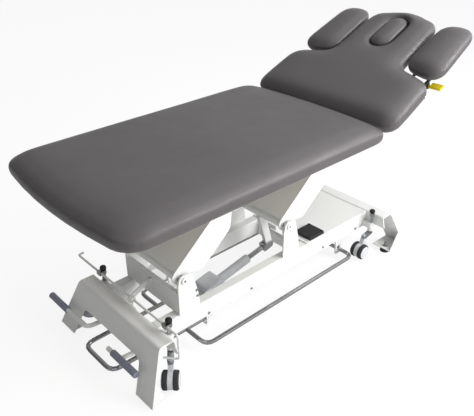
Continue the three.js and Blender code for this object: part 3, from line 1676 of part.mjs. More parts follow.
function liftLever() {
  const path = [
    new THREE.Vector3(pedal.barX, pedal.liftEnd, pedal.barZ),
    new THREE.Vector3(pedal.barX, pedal.arm, pedal.barZ),
    new THREE.Vector3(pedal.shaftX, pedal.arm, pedal.shaftZ),
  ];
  const boss = rodAlongY(
    pedal.shaftX, pedal.shaftZ, pedal.boss, pedal.arm - 2 * bossReach, pedal.arm + 1.4 * bossReach,
  );
  const bore = rodAlongY(pedal.shaftX, pedal.shaftZ, pedal.shaft + gap, -rail.outer, rail.outer);
  return cut(join(bentTube(path, pedal.bendRadius, pedal.tube), boss), bore);
}
place(table, "lift_pedal_lever", liftLever(), whitePaint);

function releaseLever() {
  const bar = rodAlongY(pedal.barX, pedal.barZ, pedal.tube, pedal.releaseEnd, pedal.releaseStart, 12);
  const ends = [
    new THREE.Vector3(pedal.barX, -pedal.arm, pedal.barZ),
    new THREE.Vector3(pedal.shaftX, -pedal.arm, pedal.shaftZ),
  ];
  const along = ends[1].clone().sub(ends[0]).normalize();
  const leverTube = tubeThrough(ends.map((point) => [point, along]), pedal.tube, 12);
  const shaftReach = railInner + rail.corner + plateThick + shaft.boss;
  const through = rodAlongY(pedal.shaftX, pedal.shaftZ, pedal.shaft, -shaftReach, shaftReach);
  return join(bar, leverTube, through);
}
place(table, "release_pedal_lever", releaseLever(), whitePaint);

function pedalGrip(from, to) {
  const low = Math.min(from, to);
  const high = Math.max(from, to);
  const capLow = from > to ? pedal.cap : 0;
  const capHigh = from > to ? 0 : pedal.cap;
  const sleeve = rodAlongY(pedal.barX, pedal.barZ, pedal.grip, low - capLow, high + capHigh);
  const bore = rodAlongY(
    pedal.barX, pedal.barZ, pedal.tube + gap, capLow ? low - gap : low - overrun,
    capHigh ? high + gap : high + overrun,
  );
  return cut(sleeve, bore);
}
place(table, "lift_pedal_grip", pedalGrip(pedal.liftGrip, pedal.liftEnd), gripRubber);

function releaseGrip() {
  const sleeve = pedalGrip(pedal.releaseGrip, pedal.releaseEnd);
  const along = new THREE.Vector3(pedal.shaftX - pedal.barX, 0, pedal.shaftZ - pedal.barZ).normalize();
  const start = new THREE.Vector3(pedal.barX, -pedal.arm, pedal.barZ);
  const end = start.clone().addScaledVector(along, 3 * pedal.grip);
  const room = tubeThrough([[start, along], [end, along]], pedal.tube + 2 * gap, 12);
  return cut(sleeve, room);
}
place(table, "release_pedal_grip", releaseGrip(), gripRubber);

// Switch bar: a loop under the foot end that steps out to run along both sides

function switchBarSolid() {
  const { z, footX, leg, legEnd, side, stepX, fromHead, innerEnd, bendRadius, radius } = switchBar;
  const headX = fromEnd(-1, fromHead);
  const at = (x, y) => new THREE.Vector3(x, y, z);
  const stops = [at(legEnd, leg), at(footX, leg), at(footX, -leg), at(legEnd, -leg)];
  const loop = bentTube(stops, bendRadius, radius, 14);
  const runs = sides.map(([, sign]) => bentTube(
    [at(stepX, sign * leg), at(stepX, sign * side), at(headX, sign * side), at(headX, sign * innerEnd)],
    bendRadius, radius, 14,
  ));
  return join(loop, ...runs);
}
place(table, "switch_bar", switchBarSolid(), chrome);

// Cover plate on the rails at the head end, and the control box on it

const cover = { pastPivot: 113, thick: 3, inset: 2, lip: 16, slotRoom: 3 };
const coverX = liftPivot.headX + cover.pastPivot;
const box = { fromCover: 23, length: 82, near: -148, far: -66, height: 12, corner: 4 };
// The lever's tip and the actuator's fork rise through a slot in its front edge
const tipReach = Math.hypot(lever.reach, leverDrop) + 0.5 * actuator.forkHeight;
const coverDrop = liftPivot.z - rail.top;
const slotEnd = liftPivot.headX + Math.sqrt(tipReach ** 2 - coverDrop ** 2) + 2 * cover.slotRoom;
const slotHalf = actuator.forkGap + actuator.forkCheek + cover.slotRoom;
const coverPlate = cut(join(
  block(
    coverX, railEnd - cover.inset, -rail.outer + cover.inset, rail.outer - cover.inset,
    rail.top + gap, rail.top + gap + cover.thick,
  ),
  block(
    coverX, coverX + cover.thick, -railInner + cover.inset, railInner - cover.inset,
    rail.top - cover.lip, rail.top + gap + 0.5 * cover.thick,
  ),
), block(
  coverX - overrun, slotEnd, -slotHalf, slotHalf,
  rail.top - cover.lip - overrun, rail.top + cover.thick + overrun,
));
place(table, "base_cover_plate", coverPlate, whitePaint);
const boxBottom = rail.top + 2 * gap + cover.thick;
const boxSolid = alongX(shapeOf(outline([
  [box.near, boxBottom],
  [box.far, boxBottom],
  [box.far, boxBottom + box.height, box.corner],
  [box.near, boxBottom + box.height, box.corner],
])), coverX + box.fromCover, coverX + box.fromCover + box.length);
place(table, "control_box", boxSolid, blackPlastic);

// The finished table stands with the middle of its outline over the origin
const extent = new THREE.Box3().setFromObject(table, true);
table.position.x = -0.5 * (extent.min.x + extent.max.x);
table.updateMatrixWorld(true);

export default table;
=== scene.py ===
import bpy
import bmesh
import json
import math
import numpy
from mathutils import Matrix, Vector, noise


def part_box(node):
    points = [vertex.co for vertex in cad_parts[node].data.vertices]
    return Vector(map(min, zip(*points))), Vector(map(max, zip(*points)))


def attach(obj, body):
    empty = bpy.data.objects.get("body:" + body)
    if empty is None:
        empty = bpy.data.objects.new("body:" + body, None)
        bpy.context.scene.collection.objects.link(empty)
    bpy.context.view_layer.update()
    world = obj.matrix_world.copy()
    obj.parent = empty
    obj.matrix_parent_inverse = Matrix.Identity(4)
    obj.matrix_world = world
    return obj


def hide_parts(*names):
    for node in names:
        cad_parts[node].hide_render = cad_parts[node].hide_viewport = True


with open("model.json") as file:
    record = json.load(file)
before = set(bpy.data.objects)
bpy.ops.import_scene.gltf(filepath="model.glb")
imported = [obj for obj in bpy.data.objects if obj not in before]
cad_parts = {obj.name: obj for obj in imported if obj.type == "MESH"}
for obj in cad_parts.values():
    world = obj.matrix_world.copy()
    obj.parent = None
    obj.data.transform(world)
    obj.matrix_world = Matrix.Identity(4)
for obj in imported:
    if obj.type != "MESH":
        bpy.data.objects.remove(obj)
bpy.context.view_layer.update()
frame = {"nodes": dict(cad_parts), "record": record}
nodes = frame["nodes"]
scene = bpy.context.scene
scene.view_settings.view_transform = "Standard"
baseEdge = 0.070  # the foot bridge's lower edge stands this far inside the couch's drawn end
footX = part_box("foot_bridge")[0].x - baseEdge


# places are given in millimetres: along from the couch's foot end, across from its middle,
# up from the floor
def at(x, y, z):
    return Vector((footX + x / 1000, y / 1000, z / 1000))


# the head section is tilted, so its own places run along it (s), across it (y) and up from it (t)
headSection = {"hingeX": 1130, "hingeZ": 600, "tilt": math.radians(23.9)}
headAlong = Vector((math.cos(headSection["tilt"]), 0, math.sin(headSection["tilt"])))
headUp = Vector((-math.sin(headSection["tilt"]), 0, math.cos(headSection["tilt"])))


def onHead(s, y, t):
    hinge = at(headSection["hingeX"], y, headSection["hingeZ"])
    return hinge + headAlong * (s / 1000) + headUp * (t / 1000)


camera = {
    "place": at(-614.148, -1415.551, 1470.594),
    "yaw": 0.827159,
    "pitch": 0.520443,
    "roll": -0.001318,
    "lens": 45.5707,
    "sensor": 36,
    "near": 0.05,
    "far": 50,
}


def addCamera(view):
    forward = Vector((
        math.cos(view["pitch"]) * math.cos(view["yaw"]),
        math.cos(view["pitch"]) * math.sin(view["yaw"]),
        -math.sin(view["pitch"]),
    ))
    side = Vector((math.sin(view["yaw"]), -math.cos(view["yaw"]), 0))
    up = side.cross(forward)
    c, s = math.cos(view["roll"]), math.sin(view["roll"])
    right = side * c + up * s
    top = up * c - side * s
    data = bpy.data.cameras.new("photoCamera")
    data.sensor_fit = "HORIZONTAL"
    data.sensor_width = view["sensor"]
    data.lens = view["lens"]
    data.clip_start = view["near"]
    data.clip_end = view["far"]
    eye = bpy.data.objects.new("photoCamera", data)
    scene.collection.objects.link(eye)
    turn = Matrix((right, top, -forward)).transposed().to_4x4()
    eye.matrix_world = Matrix.Translation(view["place"]) @ turn
    scene.camera = eye


addCamera(camera)
print("camera placed")


# colours are written as a screen shows them, and turned into linear light here
def swatch(r, g, b):
    return tuple(
        c / 12.92 if c <= 0.04045 else ((c + 0.055) / 1.055) ** 2.4
        for c in (r / 255, g / 255, b / 255)
    ) + (1,)


def shaded(color, amount):
    return tuple(min(1, c * amount) for c in color[:3]) + (1,)


def wired(tree, kind, inputs, **settings):
    # adds a node; each input is a plain value or another node's output
    node = tree.nodes.new(kind)
    for name, value in settings.items():
        setattr(node, name, value)
    for socket, value in inputs.items():
        if hasattr(value, "is_output"):
            tree.links.new(value, node.inputs[socket])
        else:
            node.inputs[socket].default_value = value
    return node


class Recipe:
    # a short way to wire one finish: each call adds a node and hands its output back
    def __init__(self, name, roughness, fixed=None):
        self.material = bpy.data.materials.new(name)
        self.material.use_nodes = True
        self.tree = self.material.node_tree
        self.shader = self.tree.nodes["Principled BSDF"]
        self.roughness = roughness
        for socket, value in {"Roughness": roughness, **(fixed or {})}.items():
            self.shader.inputs[socket].default_value = value
        self.spot = self.tree.nodes.new("ShaderNodeTexCoord").outputs["Object"]

    def feed(self, socket, output):
        self.tree.links.new(output, self.shader.inputs[socket])

    def stretched(self, x, y, z):
        inputs = {"Vector": self.spot, "Scale": (x, y, z)}
        return wired(self.tree, "ShaderNodeMapping", inputs).outputs["Vector"]

    def cloud(self, scale, detail=2.0, rough=0.5, spot=None):
        inputs = {"Vector": spot or self.spot, "Scale": scale, "Detail": detail, "Roughness": rough}
        return wired(self.tree, "ShaderNodeTexNoise", inputs).outputs["Fac"]

    def cells(self, scale, kind="F1"):
        inputs = {"Vector": self.spot, "Scale": scale}
        return wired(self.tree, "ShaderNodeTexVoronoi", inputs, feature=kind).outputs["Distance"]

    def ramp(self, source, stops):
        node = wired(self.tree, "ShaderNodeValToRGB", {"Fac": source})
        for end, (place, color) in zip(node.color_ramp.elements, stops):
            end.position = place
            end.color = color
        return node.outputs["Color"]

    def tones(self, source, color, darker, lighter=1, low=0.3, high=0.7):
        # from a darker to a lighter shade of one colour
        return self.ramp(source, [(low, shaded(color, darker)), (high, shaded(color, lighter))])

    def mix(self, share, first, second, way="MIX"):
        # inputs 6 and 7 and output 2 are the node's colours
        inputs = {0: share, 6: first, 7: second}
        return wired(self.tree, "ShaderNodeMix", inputs, data_type="RGBA", blend_type=way).outputs[2]

    def plus(self, first, second):
        return wired(self.tree, "ShaderNodeMath", {0: first, 1: second}, operation="ADD").outputs[0]

    def times(self, first, second):
        return wired(self.tree, "ShaderNodeMath", {0: first, 1: second}, operation="MULTIPLY").outputs[0]

    def spread(self, source, fromLow, fromHigh, low, high):
        inputs = {"Value": source, "From Min": fromLow, "From Max": fromHigh, "To Min": low, "To Max": high}
        return wired(self.tree, "ShaderNodeMapRange", inputs).outputs["Result"]

    def uneven(self, source, smoother, rougher, low=0.3, high=0.7):
        # the gloss varies over the surface
        ends = (self.roughness - smoother, self.roughness + rougher)
        self.feed("Roughness", self.spread(source, low, high, *ends))

    def height(self):
        return wired(self.tree, "ShaderNodeSeparateXYZ", {0: self.spot}).outputs["Z"]

    def softEdge(self, radius):
        return wired(self.tree, "ShaderNodeBevel", {"Radius": radius}, samples=4).outputs["Normal"]

    def bump(self, source, depth, strength, under=None):
        inputs = {"Strength": strength, "Distance": depth, "Height": source}
        if under is not None:
            inputs["Normal"] = under
        self.feed("Normal", wired(self.tree, "ShaderNodeBump", inputs).outputs["Normal"])


frameWhite = {
    "color": swatch(229, 230, 228), "roughness": 0.36,
    "gloss": {"Specular IOR Level": 0.5, "Coat Weight": 0.15, "Coat Roughness": 0.3},
    "peelScale": 420, "peelDepth": 0.00012, "softEdge": 0.0014,
    "dust": swatch(176, 173, 166), "dustReach": 0.11, "dustShare": 0.42,
}


def powderCoat(look):
    r = Recipe("frameWhite", look["roughness"], look["gloss"])
    tone = r.tones(r.cloud(2.2, 3), look["color"], 0.955, 1, 0.35, 0.65)
    # a trace of dust low down, in patches
    low = r.spread(r.height(), 0.0, look["dustReach"], look["dustShare"], 0.0)
    patch = r.times(low, r.cloud(26, 4, 0.6))
    r.feed("Base Color", r.mix(patch, tone, look["dust"]))
    r.uneven(r.cloud(38, 3), 0.06, 0.08)
    r.bump(r.cloud(look["peelScale"], 1), look["peelDepth"], 0.6, r.softEdge(look["softEdge"]))
    return r.material


# the last two numbers set the painted shade in the grain's creases: how dark it is, and how much of it shows
hide = {
    "color": swatch(88, 84, 85), "roughness": 0.38,
    "gloss": {"Specular IOR Level": 0.85, "Coat Weight": 0.12, "Coat Roughness": 0.34,
              "Sheen Weight": 0.04, "Sheen Roughness": 0.4},
    "grainScale": 520, "grainDepth": 0.0002, "poreShare": 0.35, "creaseShade": 0.74, "creaseShadeShare": 0.28,
}


def leatherGrain(look):
    r = Recipe("greyLeatherette", look["roughness"], look["gloss"])
    tone = r.tones(r.cloud(3.1, 4), look["color"], 0.93, 1.05)
    pebble = r.cells(look["grainScale"], "DISTANCE_TO_EDGE")
    pore = r.cloud(look["grainScale"] * 2.3, 2)
    # painted shade: the grain's creases, where the bump sinks, are darkened as if they lay in shadow
    creaseShadeTone = r.ramp(pebble, [(0.0, shaded(look["color"], look["creaseShade"])), (0.09, (1, 1, 1, 1))])
    r.feed("Base Color", r.mix(look["creaseShadeShare"], tone, creaseShadeTone, "MULTIPLY"))
    r.uneven(r.cloud(11, 3), 0.05, 0.07)
    domes = r.spread(pebble, 0.0, 0.16, 0.0, 1.0)
    r.bump(r.plus(domes, r.times(pore, look["poreShare"])), look["grainDepth"], 0.55)
    return r.material


plyEdge = {"light": swatch(203, 188, 162), "dark": swatch(158, 140, 114), "plies": 620, "roughness": 0.62}


def plywood(look):
    r = Recipe("birchPly", look["roughness"])
    layers = r.cloud(1.0, 1, 0.5, r.stretched(8, 8, look["plies"]))
    fibre = r.cloud(1.0, 5, 0.6, r.stretched(14, 260, 260))
    both = r.plus(r.times(layers, 0.55), r.times(fibre, 0.45))
    r.feed("Base Color", r.ramp(both, [(0.36, look["dark"]), (0.6, look["light"])]))
    r.bump(fibre, 0.0003, 0.5)
    return r.material


zinc = {"color": swatch(164, 167, 170), "roughness": 0.34, "flakeScale": 240, "softEdge": 0.0006}


def zincPlate(look):
    r = Recipe("zincPlate", look["roughness"], {"Metallic": 1.0})
    flake = r.plus(r.cells(look["flakeScale"]), r.times(r.cloud(30, 3), 0.6))
    r.feed("Base Color", r.tones(flake, look["color"], 0.8, 1.12, 0.2, 0.75))
    r.uneven(r.cloud(70, 3), 0.08, 0.12)
    r.bump(r.cloud(900, 2), 0.00006, 0.5, r.softEdge(look["softEdge"]))
    return r.material


chromePlate = {"color": swatch(182, 182, 184), "roughness": 0.08}


def polishedChrome(look):
    r = Recipe("polishedChrome", look["roughness"], {"Metallic": 1.0})
    r.feed("Base Color", r.tones(r.cloud(6, 3), look["color"], 0.92))
    r.uneven(r.cloud(45, 4, 0.6), 0, 0.1, 0.35, 0.75)
    r.bump(r.cloud(300, 1), 0.00002, 0.3)
    return r.material


def mouldedPlastic(name, color, roughness, pits=750, depth=0.00008, edge=0.0008):
    r = Recipe(name, roughness, {"Specular IOR Level": 0.5})
    r.feed("Base Color", r.tones(r.cloud(9, 3), color, 0.9, 1.06))
    r.uneven(r.cloud(60, 3), 0.07, 0.08)
    r.bump(r.cloud(pits, 2), depth, 0.6, r.softEdge(edge))
    return r.material


gripFoam = {"color": swatch(130, 134, 150), "roughness": 0.78, "sheen": 0.15, "cell": 900}


def foamRubber(look):
    r = Recipe("gripFoam", look["roughness"], {"Sheen Weight": look["sheen"]})
    r.feed("Base Color", r.tones(r.cloud(120, 4, 0.7), look["color"], 0.82, 1.15))
    r.bump(r.plus(r.cells(look["cell"]), r.cloud(look["cell"], 2)), 0.00025, 0.7)
    return r.material


finishes = {
    "frame_paint": powderCoat(frameWhite),
    "leatherette": leatherGrain(hide),
    "plywood": plywood(plyEdge),
    "steel": zincPlate(zinc),
    "chrome": polishedChrome(chromePlate),
    "black_plastic": mouldedPlastic("blackPlastic", swatch(26, 27, 30), 0.45),
    "grey_plastic": mouldedPlastic("lightGreyPlastic", swatch(197, 200, 204), 0.42),
    "rubber": mouldedPlastic("blackRubber", swatch(50, 50, 52), 0.72, 480, 0.00018, 0.0012),
    "grip_rubber": foamRubber(gripFoam),
    "yellow_plastic": mouldedPlastic("yellowGrip", swatch(232, 210, 42), 0.38),
}
for part in frame["record"]["subparts"]:
    for place in nodes[part["node"]].material_slots:
        place.material = finishes[part["material_slot"]]
print("finishes ready:", len(finishes))


def dress(obj, slotName, body):
    obj.data.materials.clear()
    obj.data.materials.append(finishes[slotName])
    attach(obj, body)
    return obj


# cushions, in millimetres. pullIn: how far the cover starts inside the drawn form; rise: the most
# that the stuffing pushes it out; grid: mesh size; held: how much of the lower edge stays on its
# board; ease and pillow: rounds of smoothing all over and on top; lean: how far the sides lean in
# at the top, or out into the face hole's funnel when below zero; tuck: depth of the corner folds;
# hem: depth of the seam line; snug: share of the drawn length and width; fill: how tight it is
armPad = {
    "up": headUp, "pullIn": 2, "rise": 4.5, "grid": 5, "held": 8, "ease": 16, "pillow": 72,
    "lean": 2.5, "tuck": 0.2, "hem": 0.6, "snug": 1, "fill": 0.75,
}
cushions = {
    "main_cushion": {
        "piece": "couchCushion", "body": "couch_frame", "up": Vector((0, 0, 1)),
        "pullIn": 2.5, "rise": 6, "grid": 7, "held": 10, "ease": 20, "pillow": 85,
        "lean": 5, "tuck": 0.4, "hem": 0.7, "snug": 1, "fill": 0.8,
    },
    "head_cushion": {
        "piece": "headCushion", "body": "head_section", "up": headUp,
        "pullIn": 2.2, "rise": 5, "grid": 6, "held": 10, "ease": 22, "pillow": 62,
        "lean": 2.5, "tuck": 0.2, "hem": 0.7, "snug": 1, "fill": 0.8,
    },
    "arm_pad_front": {"piece": "armPadFront", "body": "armrest_front", **armPad},
    "arm_pad_rear": {"piece": "armPadRear", "body": "armrest_rear", **armPad},
    "face_plug": {
        "piece": "facePlug", "body": "face_plug", "up": headUp,
        "pullIn": 1, "rise": 3, "grid": 4, "held": 8, "ease": 6, "pillow": 12,
        "lean": -9, "tuck": 0, "hem": 0, "snug": 0.985, "fill": 0.8,
    },
}
# what all the cushions share. Pairs say where something starts and over what length it grows;
# levels are shares of the thickness, up from the underside
padShape = {
    "leanIn": (0.25, 0.6), "leanOut": (0.69, 0.12), "leanRounds": 14,
    "shoulder": (0.42, 0.3), "clearOfHole": (0.02, 0.03),
    "pressure": 4, "steps": 20, "stuffRounds": 30, "plugWall": 0.75,
    "hemLevel": 0.15, "hemWidth": 0.035, "folds": 34,
    "slowGive": 0.0007, "fineGive": 0.0002,
}
faceHole = {"s": 483, "halfLength": 96, "halfWidth": 48, "lip": 14}


def ownMesh(obj):
    # bakes the modifiers that are on the piece into its mesh
    view = bpy.context.evaluated_depsgraph_get()
    fresh = bpy.data.meshes.new_from_object(obj.evaluated_get(view), depsgraph=view)
    old = obj.data
    obj.modifiers.clear()
    obj.data = fresh
    bpy.data.meshes.remove(old)


def fromFaceHole(along, across):
    # how far outside the face hole's rim a spot lies, in metres; negative inside
    straight = (faceHole["halfLength"] - faceHole["halfWidth"]) / 1000
    past = max(0, abs(along - faceHole["s"] / 1000) - straight)
    return math.hypot(past, across) - faceHole["halfWidth"] / 1000


def atHoleWall(nodeName, point):
    # the head cushion's walls round the face hole keep to the plug
    if nodeName != "head_cushion":
        return False
    local = point - onHead(0, 0, 0)
    return fromFaceHole(local.dot(headAlong), local.y) < faceHole["lip"] / 1000


def fade(values, growth):
    # nothing below the start, growing evenly to one
    start, over = growth
    return numpy.clip((values - start) / over, 0, 1)


def clearOfHole(nodeName, local):
    # on the head cushion, nothing next to the face hole and one further out
    if nodeName != "head_cushion":
        return 1
    hinge = onHead(0, 0, 0).dot(headAlong)
    off = numpy.array([fromFaceHole(spot[0] - hinge, spot[1]) for spot in local])
    return fade(off, padShape["clearOfHole"])


def pointsOf(mesh):
    flat = numpy.empty(len(mesh.vertices) * 3, dtype=numpy.float64)
    mesh.vertices.foreach_get("co", flat)
    return flat.reshape(-1, 3)


def normalsOf(mesh):
    return numpy.array([tuple(v.normal) for v in mesh.vertices])


def spreadOut(mesh, values, rounds):
    # evens one number per point over its neighbours
    pairs = numpy.empty(len(mesh.edges) * 2, dtype=numpy.int64)
    mesh.edges.foreach_get("vertices", pairs)
    a, b = pairs[0::2], pairs[1::2]
    size = len(mesh.vertices)
    count = numpy.bincount(a, minlength=size) + numpy.bincount(b, minlength=size)
    for turn in range(rounds):
        total = numpy.bincount(a, values[b], size) + numpy.bincount(b, values[a], size)
        values = 0.5 * values + 0.5 * total / numpy.maximum(count, 1)
    return values


def roughCover(nodeName, look, underside):
    # a copy of the drawn form, a little slimmer, on an even grid
    up = look["up"]
    mesh = nodes[nodeName].data.copy()
    pad = bpy.data.objects.new(look["piece"], mesh)
    scene.collection.objects.link(pad)
    work = bmesh.new()
    work.from_mesh(mesh)
    bmesh.ops.remove_doubles(work, verts=work.verts, dist=0.00002)
    work.normal_update()
    for v in work.verts:
        if atHoleWall(nodeName, v.co):
            continue
        push = v.normal.copy()
        if v.co.dot(up) < underside + 0.003:  # the underside stays on its board
            push -= up * push.dot(up)
        v.co -= push * (look["pullIn"] / 1000)
    work.to_mesh(mesh)
    work.free()
    regrid = pad.modifiers.new("regrid", "REMESH")
    regrid.mode = "VOXEL"
    regrid.voxel_size = look["grid"] / 1000
    regrid.use_smooth_shade = True
    ownMesh(pad)
    ease = pad.modifiers.new("ease", "SMOOTH")
    ease.factor = 0.5
    ease.iterations = look["ease"]
    ownMesh(pad)
    return pad


def stuffing(pad, nodeName, look, underside):
    # how far the pressure inside pushes each point outward
    up = look["up"]
    start = pointsOf(pad.data)
    outward = normalsOf(pad.data)
    held = pad.vertex_groups.new(name="held")
    for v in pad.data.vertices:
        low = v.co.dot(up) < underside + look["held"] / 1000
        plugWall = nodeName == "face_plug" and abs(v.normal.dot(up)) < padShape["plugWall"]
        if low or plugWall or atHoleWall(nodeName, v.co):
            held.add([v.index], 1, "REPLACE")
    cloth = pad.modifiers.new("cover", "CLOTH")
    cloth.settings.vertex_group_mass = "held"
    cloth.settings.use_pressure = True
    cloth.settings.uniform_pressure_force = padShape["pressure"]
    cloth.settings.quality = 3
    cloth.settings.effector_weights.gravity = 0
    cloth.collision_settings.use_collision = False
    cloth.point_cache.frame_start = 1
    cloth.point_cache.frame_end = padShape["steps"]
    for step in range(1, padShape["steps"] + 1):
        scene.frame_set(step)
    view = bpy.context.evaluated_depsgraph_get()
    swollen = pointsOf(pad.evaluated_get(view).data)
    pad.modifiers.remove(cloth)
    pad.vertex_groups.clear()
    scene.frame_set(1)
    far = ((swollen - start) * outward).sum(axis=1)
    most = look["rise"] / 1000
    far = most * numpy.tanh(numpy.maximum(far, 0) / most)
    return start + outward * spreadOut(pad.data, far, padShape["stuffRounds"])[:, None]


def drawnSize(local, low, high, look):
    # the length, width and thickness come back to the drawn form's
    ownLow, ownHigh = local.min(axis=0), local.max(axis=0)
    snug = numpy.array((look["snug"], look["snug"], 1))
    grow = (high - low) / (ownHigh - ownLow) * snug
    middle, ownMiddle = (low + high) / 2, (ownLow + ownHigh) / 2
    return (local - ownMiddle) * grow + middle


def stuffed(nodeName, look):
    up = look["up"]
    drawn = pointsOf(nodes[nodeName].data)
    axes = numpy.array([tuple(Vector((0, 1, 0)).cross(up)), (0, 1, 0), tuple(up)])
    low, high = (drawn @ axes.T).min(axis=0), (drawn @ axes.T).max(axis=0)
    pad = roughCover(nodeName, look, low[2])
    spots = stuffing(pad, nodeName, look, low[2])
    local = drawnSize(spots @ axes.T, low, high, look)
    level = (local[:, 2] - low[2]) / (high[2] - low[2])
    outward = normalsOf(pad.data) @ axes.T
    growth = padShape["leanIn"] if look["lean"] > 0 else padShape["leanOut"]
    inward = fade(level, growth) * look["lean"] / 1000 * clearOfHole(nodeName, local)
    for axis in (0, 1):
        local[:, axis] -= spreadOut(pad.data, outward[:, axis] * inward, padShape["leanRounds"])
    # the shoulders sink into one soft round, away from the face hole
    share = fade(level, padShape["shoulder"]) * clearOfHole(nodeName, local)
    local[:, 2] += share * (spreadOut(pad.data, local[:, 2], look["pillow"]) - local[:, 2])
    spots = wornIn(local, low, high, look) @ axes
    pad.data.vertices.foreach_set("co", spots.ravel())
    finer = pad.modifiers.new("finer", "SUBSURF")
    finer.levels = 1
    finer.render_levels = 1
    for face in pad.data.polygons:
        face.use_smooth = True
    dress(pad, "leatherette", look["body"])
    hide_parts(nodeName)
    print("stuffed", look["piece"], len(pad.data.vertices), "points")
    return pad


def wornIn(local, low, high, look):
    # slow hollows on top where the foam gives, a seam line low on the sides, small tucks at the corners
    half = (high - low) / 2
    middle = (high + low) / 2
    for spot in local:
        level = (spot[2] - low[2]) / (high[2] - low[2])
        here = Vector(spot)
        give = noise.noise(here * 4.5) * padShape["slowGive"]
        give += noise.noise(here * 13 + Vector((4, 2, 7))) * padShape["fineGive"]
        spot[2] += give * max(0, min(1, level * 2 - 0.6))
        a, b = (spot[0] - middle[0]) / half[0], (spot[1] - middle[1]) / half[1]
        out = Vector((a, b)).normalized()
        inward = look["hem"] * math.exp(-((level - padShape["hemLevel"]) / padShape["hemWidth"]) ** 2)
        corner = max(0, min(1, (abs(a) + abs(b) - 1.62) / 0.2))
        if look["tuck"] and corner:
            swing = math.atan2(abs(b) - 0.6, abs(a) - 0.6)
            fold = math.cos(swing * padShape["folds"]) * corner
            inward += fold * max(0, 1 - level * 1.6) * look["tuck"]
        spot[0] -= out.x * inward / 1000
        spot[1] -= out.y * inward / 1000
    return local


for nodeName, look in cushions.items():
    stuffed(nodeName, look)


# turned fittings: a profile of (radius, height) pairs in millimetres, from the seat outward
def frameFor(direction):
    z = Vector(direction).normalized()
    x = z.orthogonal().normalized() if abs(z.z) > 0.9 else Vector((0, 0, 1)).cross(z).normalized()
    return Matrix((x, z.cross(x), z)).transposed()


def joinRings(work, rings):
    sides = len(rings[0])
    for lower, upper in zip(rings, rings[1:]):
        for k in range(sides):
            n = (k + 1) % sides
            work.faces.new((lower[k], lower[n], upper[n], upper[k]))
    work.faces.new(list(reversed(rings[0])))
    work.faces.new(rings[-1])


def turnOn(work, place, direction, profile, sides=24, spin=0.0):
    basis = frameFor(direction)
    rings = []
    for radius, rise in profile:
        ring = []
        for k in range(sides):
            a = spin + math.tau * k / sides
            spot = Vector((radius * math.cos(a), radius * math.sin(a), rise)) / 1000
            ring.append(work.verts.new(place + basis @ spot))
        rings.append(ring)
    joinRings(work, rings)


def piece(name, work, slotName, body, smooth=40):
    # smooth: edges flatter than this many degrees are shaded round
    bmesh.ops.recalc_face_normals(work, faces=work.faces)
    mesh = bpy.data.meshes.new(name)
    work.to_mesh(mesh)
    work.free()
    obj = bpy.data.objects.new(name, mesh)
    scene.collection.objects.link(obj)
    for face in mesh.polygons:
        face.use_smooth = True
    mesh.set_sharp_from_angle(angle=math.radians(smooth))
    return dress(obj, slotName, body)


corners = [(end, side) for end in ("foot", "head") for side in ("front", "rear")]

# levelling feet: a ribbed rubber pad, a threaded stem and a locknut
levellingFoot = {
    "pad": [(18, 0), (20, 1.2), (20, 5), (18.6, 6), (19.4, 7.4), (18.6, 9), (17, 12.5), (12, 16.4), (7, 17)],
    "nut": [(9.6, 0), (11, 0.8), (11, 8.4), (9.6, 9.2)], "nutHeight": 19, "nutSpin": 0.4,
    "stem": 5, "stemFrom": 16, "pitch": 1.5, "threadCore": 0.86, "stemEnds": 0.82,
}


def threadProfile(look, top):
    # a ridge for every turn of the thread
    radius, low, pitch = look["stem"], look["stemFrom"], look["pitch"]
    points = [(radius * look["stemEnds"], low)]
    rise = low + pitch / 2
    while rise < top - pitch / 2:
        points += [(radius, rise), (radius * look["threadCore"], rise + pitch / 2)]
        rise += pitch
    return points + [(radius * look["stemEnds"], top)]


def footParts(end, side, look):
    nodeName = f"levelling_foot_{end}_{side}"
    low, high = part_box(nodeName)
    centre = (low + high) / 2
    seat = Vector((centre.x, centre.y, low.z))
    up = (0, 0, 1)
    work = bmesh.new()
    turnOn(work, seat, up, look["pad"], 32)
    pad = piece(f"floorPad_{end}_{side}", work, "rubber", "base")
    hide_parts(nodeName)
    work = bmesh.new()
    turnOn(work, seat, up, threadProfile(look, (high.z - low.z) * 1000), 14)
    piece(f"footStem_{end}_{side}", work, "steel", "base", 25)
    work = bmesh.new()
    turnOn(work, seat + Vector((0, 0, look["nutHeight"] / 1000)), up, look["nut"], 6, look["nutSpin"])
    piece(f"footNut_{end}_{side}", work, "steel", "base", 25)


for end, side in corners:
    footParts(end, side, levellingFoot)
print("levelling feet built")

# pivot caps: a white cap presses over each end of the shafts, with a small steel screw in its middle
pivotCap = {
    "cap": [(10.2, -3.4), (12.2, -3.4), (12.6, -2.8), (12.4, -0.4), (11.2, 1.1), (8, 1.9), (5.2, 2)],
    "hole": 4.4,
}
hingeCap = {
    "cap": [(8.2, -3.4), (10, -3.4), (10.4, -2.8), (10.2, -0.4), (9.2, 0.9), (6.6, 1.6), (4.6, 1.7)],
    "hole": 3.8,
}
capScrew = {"clearance": 0.3, "foot": 0.5, "socket": 1.7, "sides": 6, "spin": 0.3}


def capEnds(nodeName, body, look):
    low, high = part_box(nodeName)
    centre = (low + high) / 2
    rise = look["cap"][-1][1]
    ring = look["cap"] + [(look["hole"], rise), (look["hole"], 0.3)]
    radius = look["hole"] - capScrew["clearance"]
    head = [
        (radius, capScrew["foot"]), (radius, rise), (radius - 0.6, rise + 0.7),
        (capScrew["socket"] + 0.1, rise + 0.8), (capScrew["socket"], rise - 0.4),
    ]
    caps, heads = bmesh.new(), bmesh.new()
    for sign, y in ((-1, low.y), (1, high.y)):
        seat = Vector((centre.x, y, centre.z))
        turnOn(caps, seat, (0, sign, 0), ring, 36)
        turnOn(heads, seat, (0, sign, 0), head, capScrew["sides"], capScrew["spin"])
    piece(f"pivotCaps_{nodeName}", caps, "frame_paint", body)
    piece(f"pivotScrews_{nodeName}", heads, "steel", body, 30)


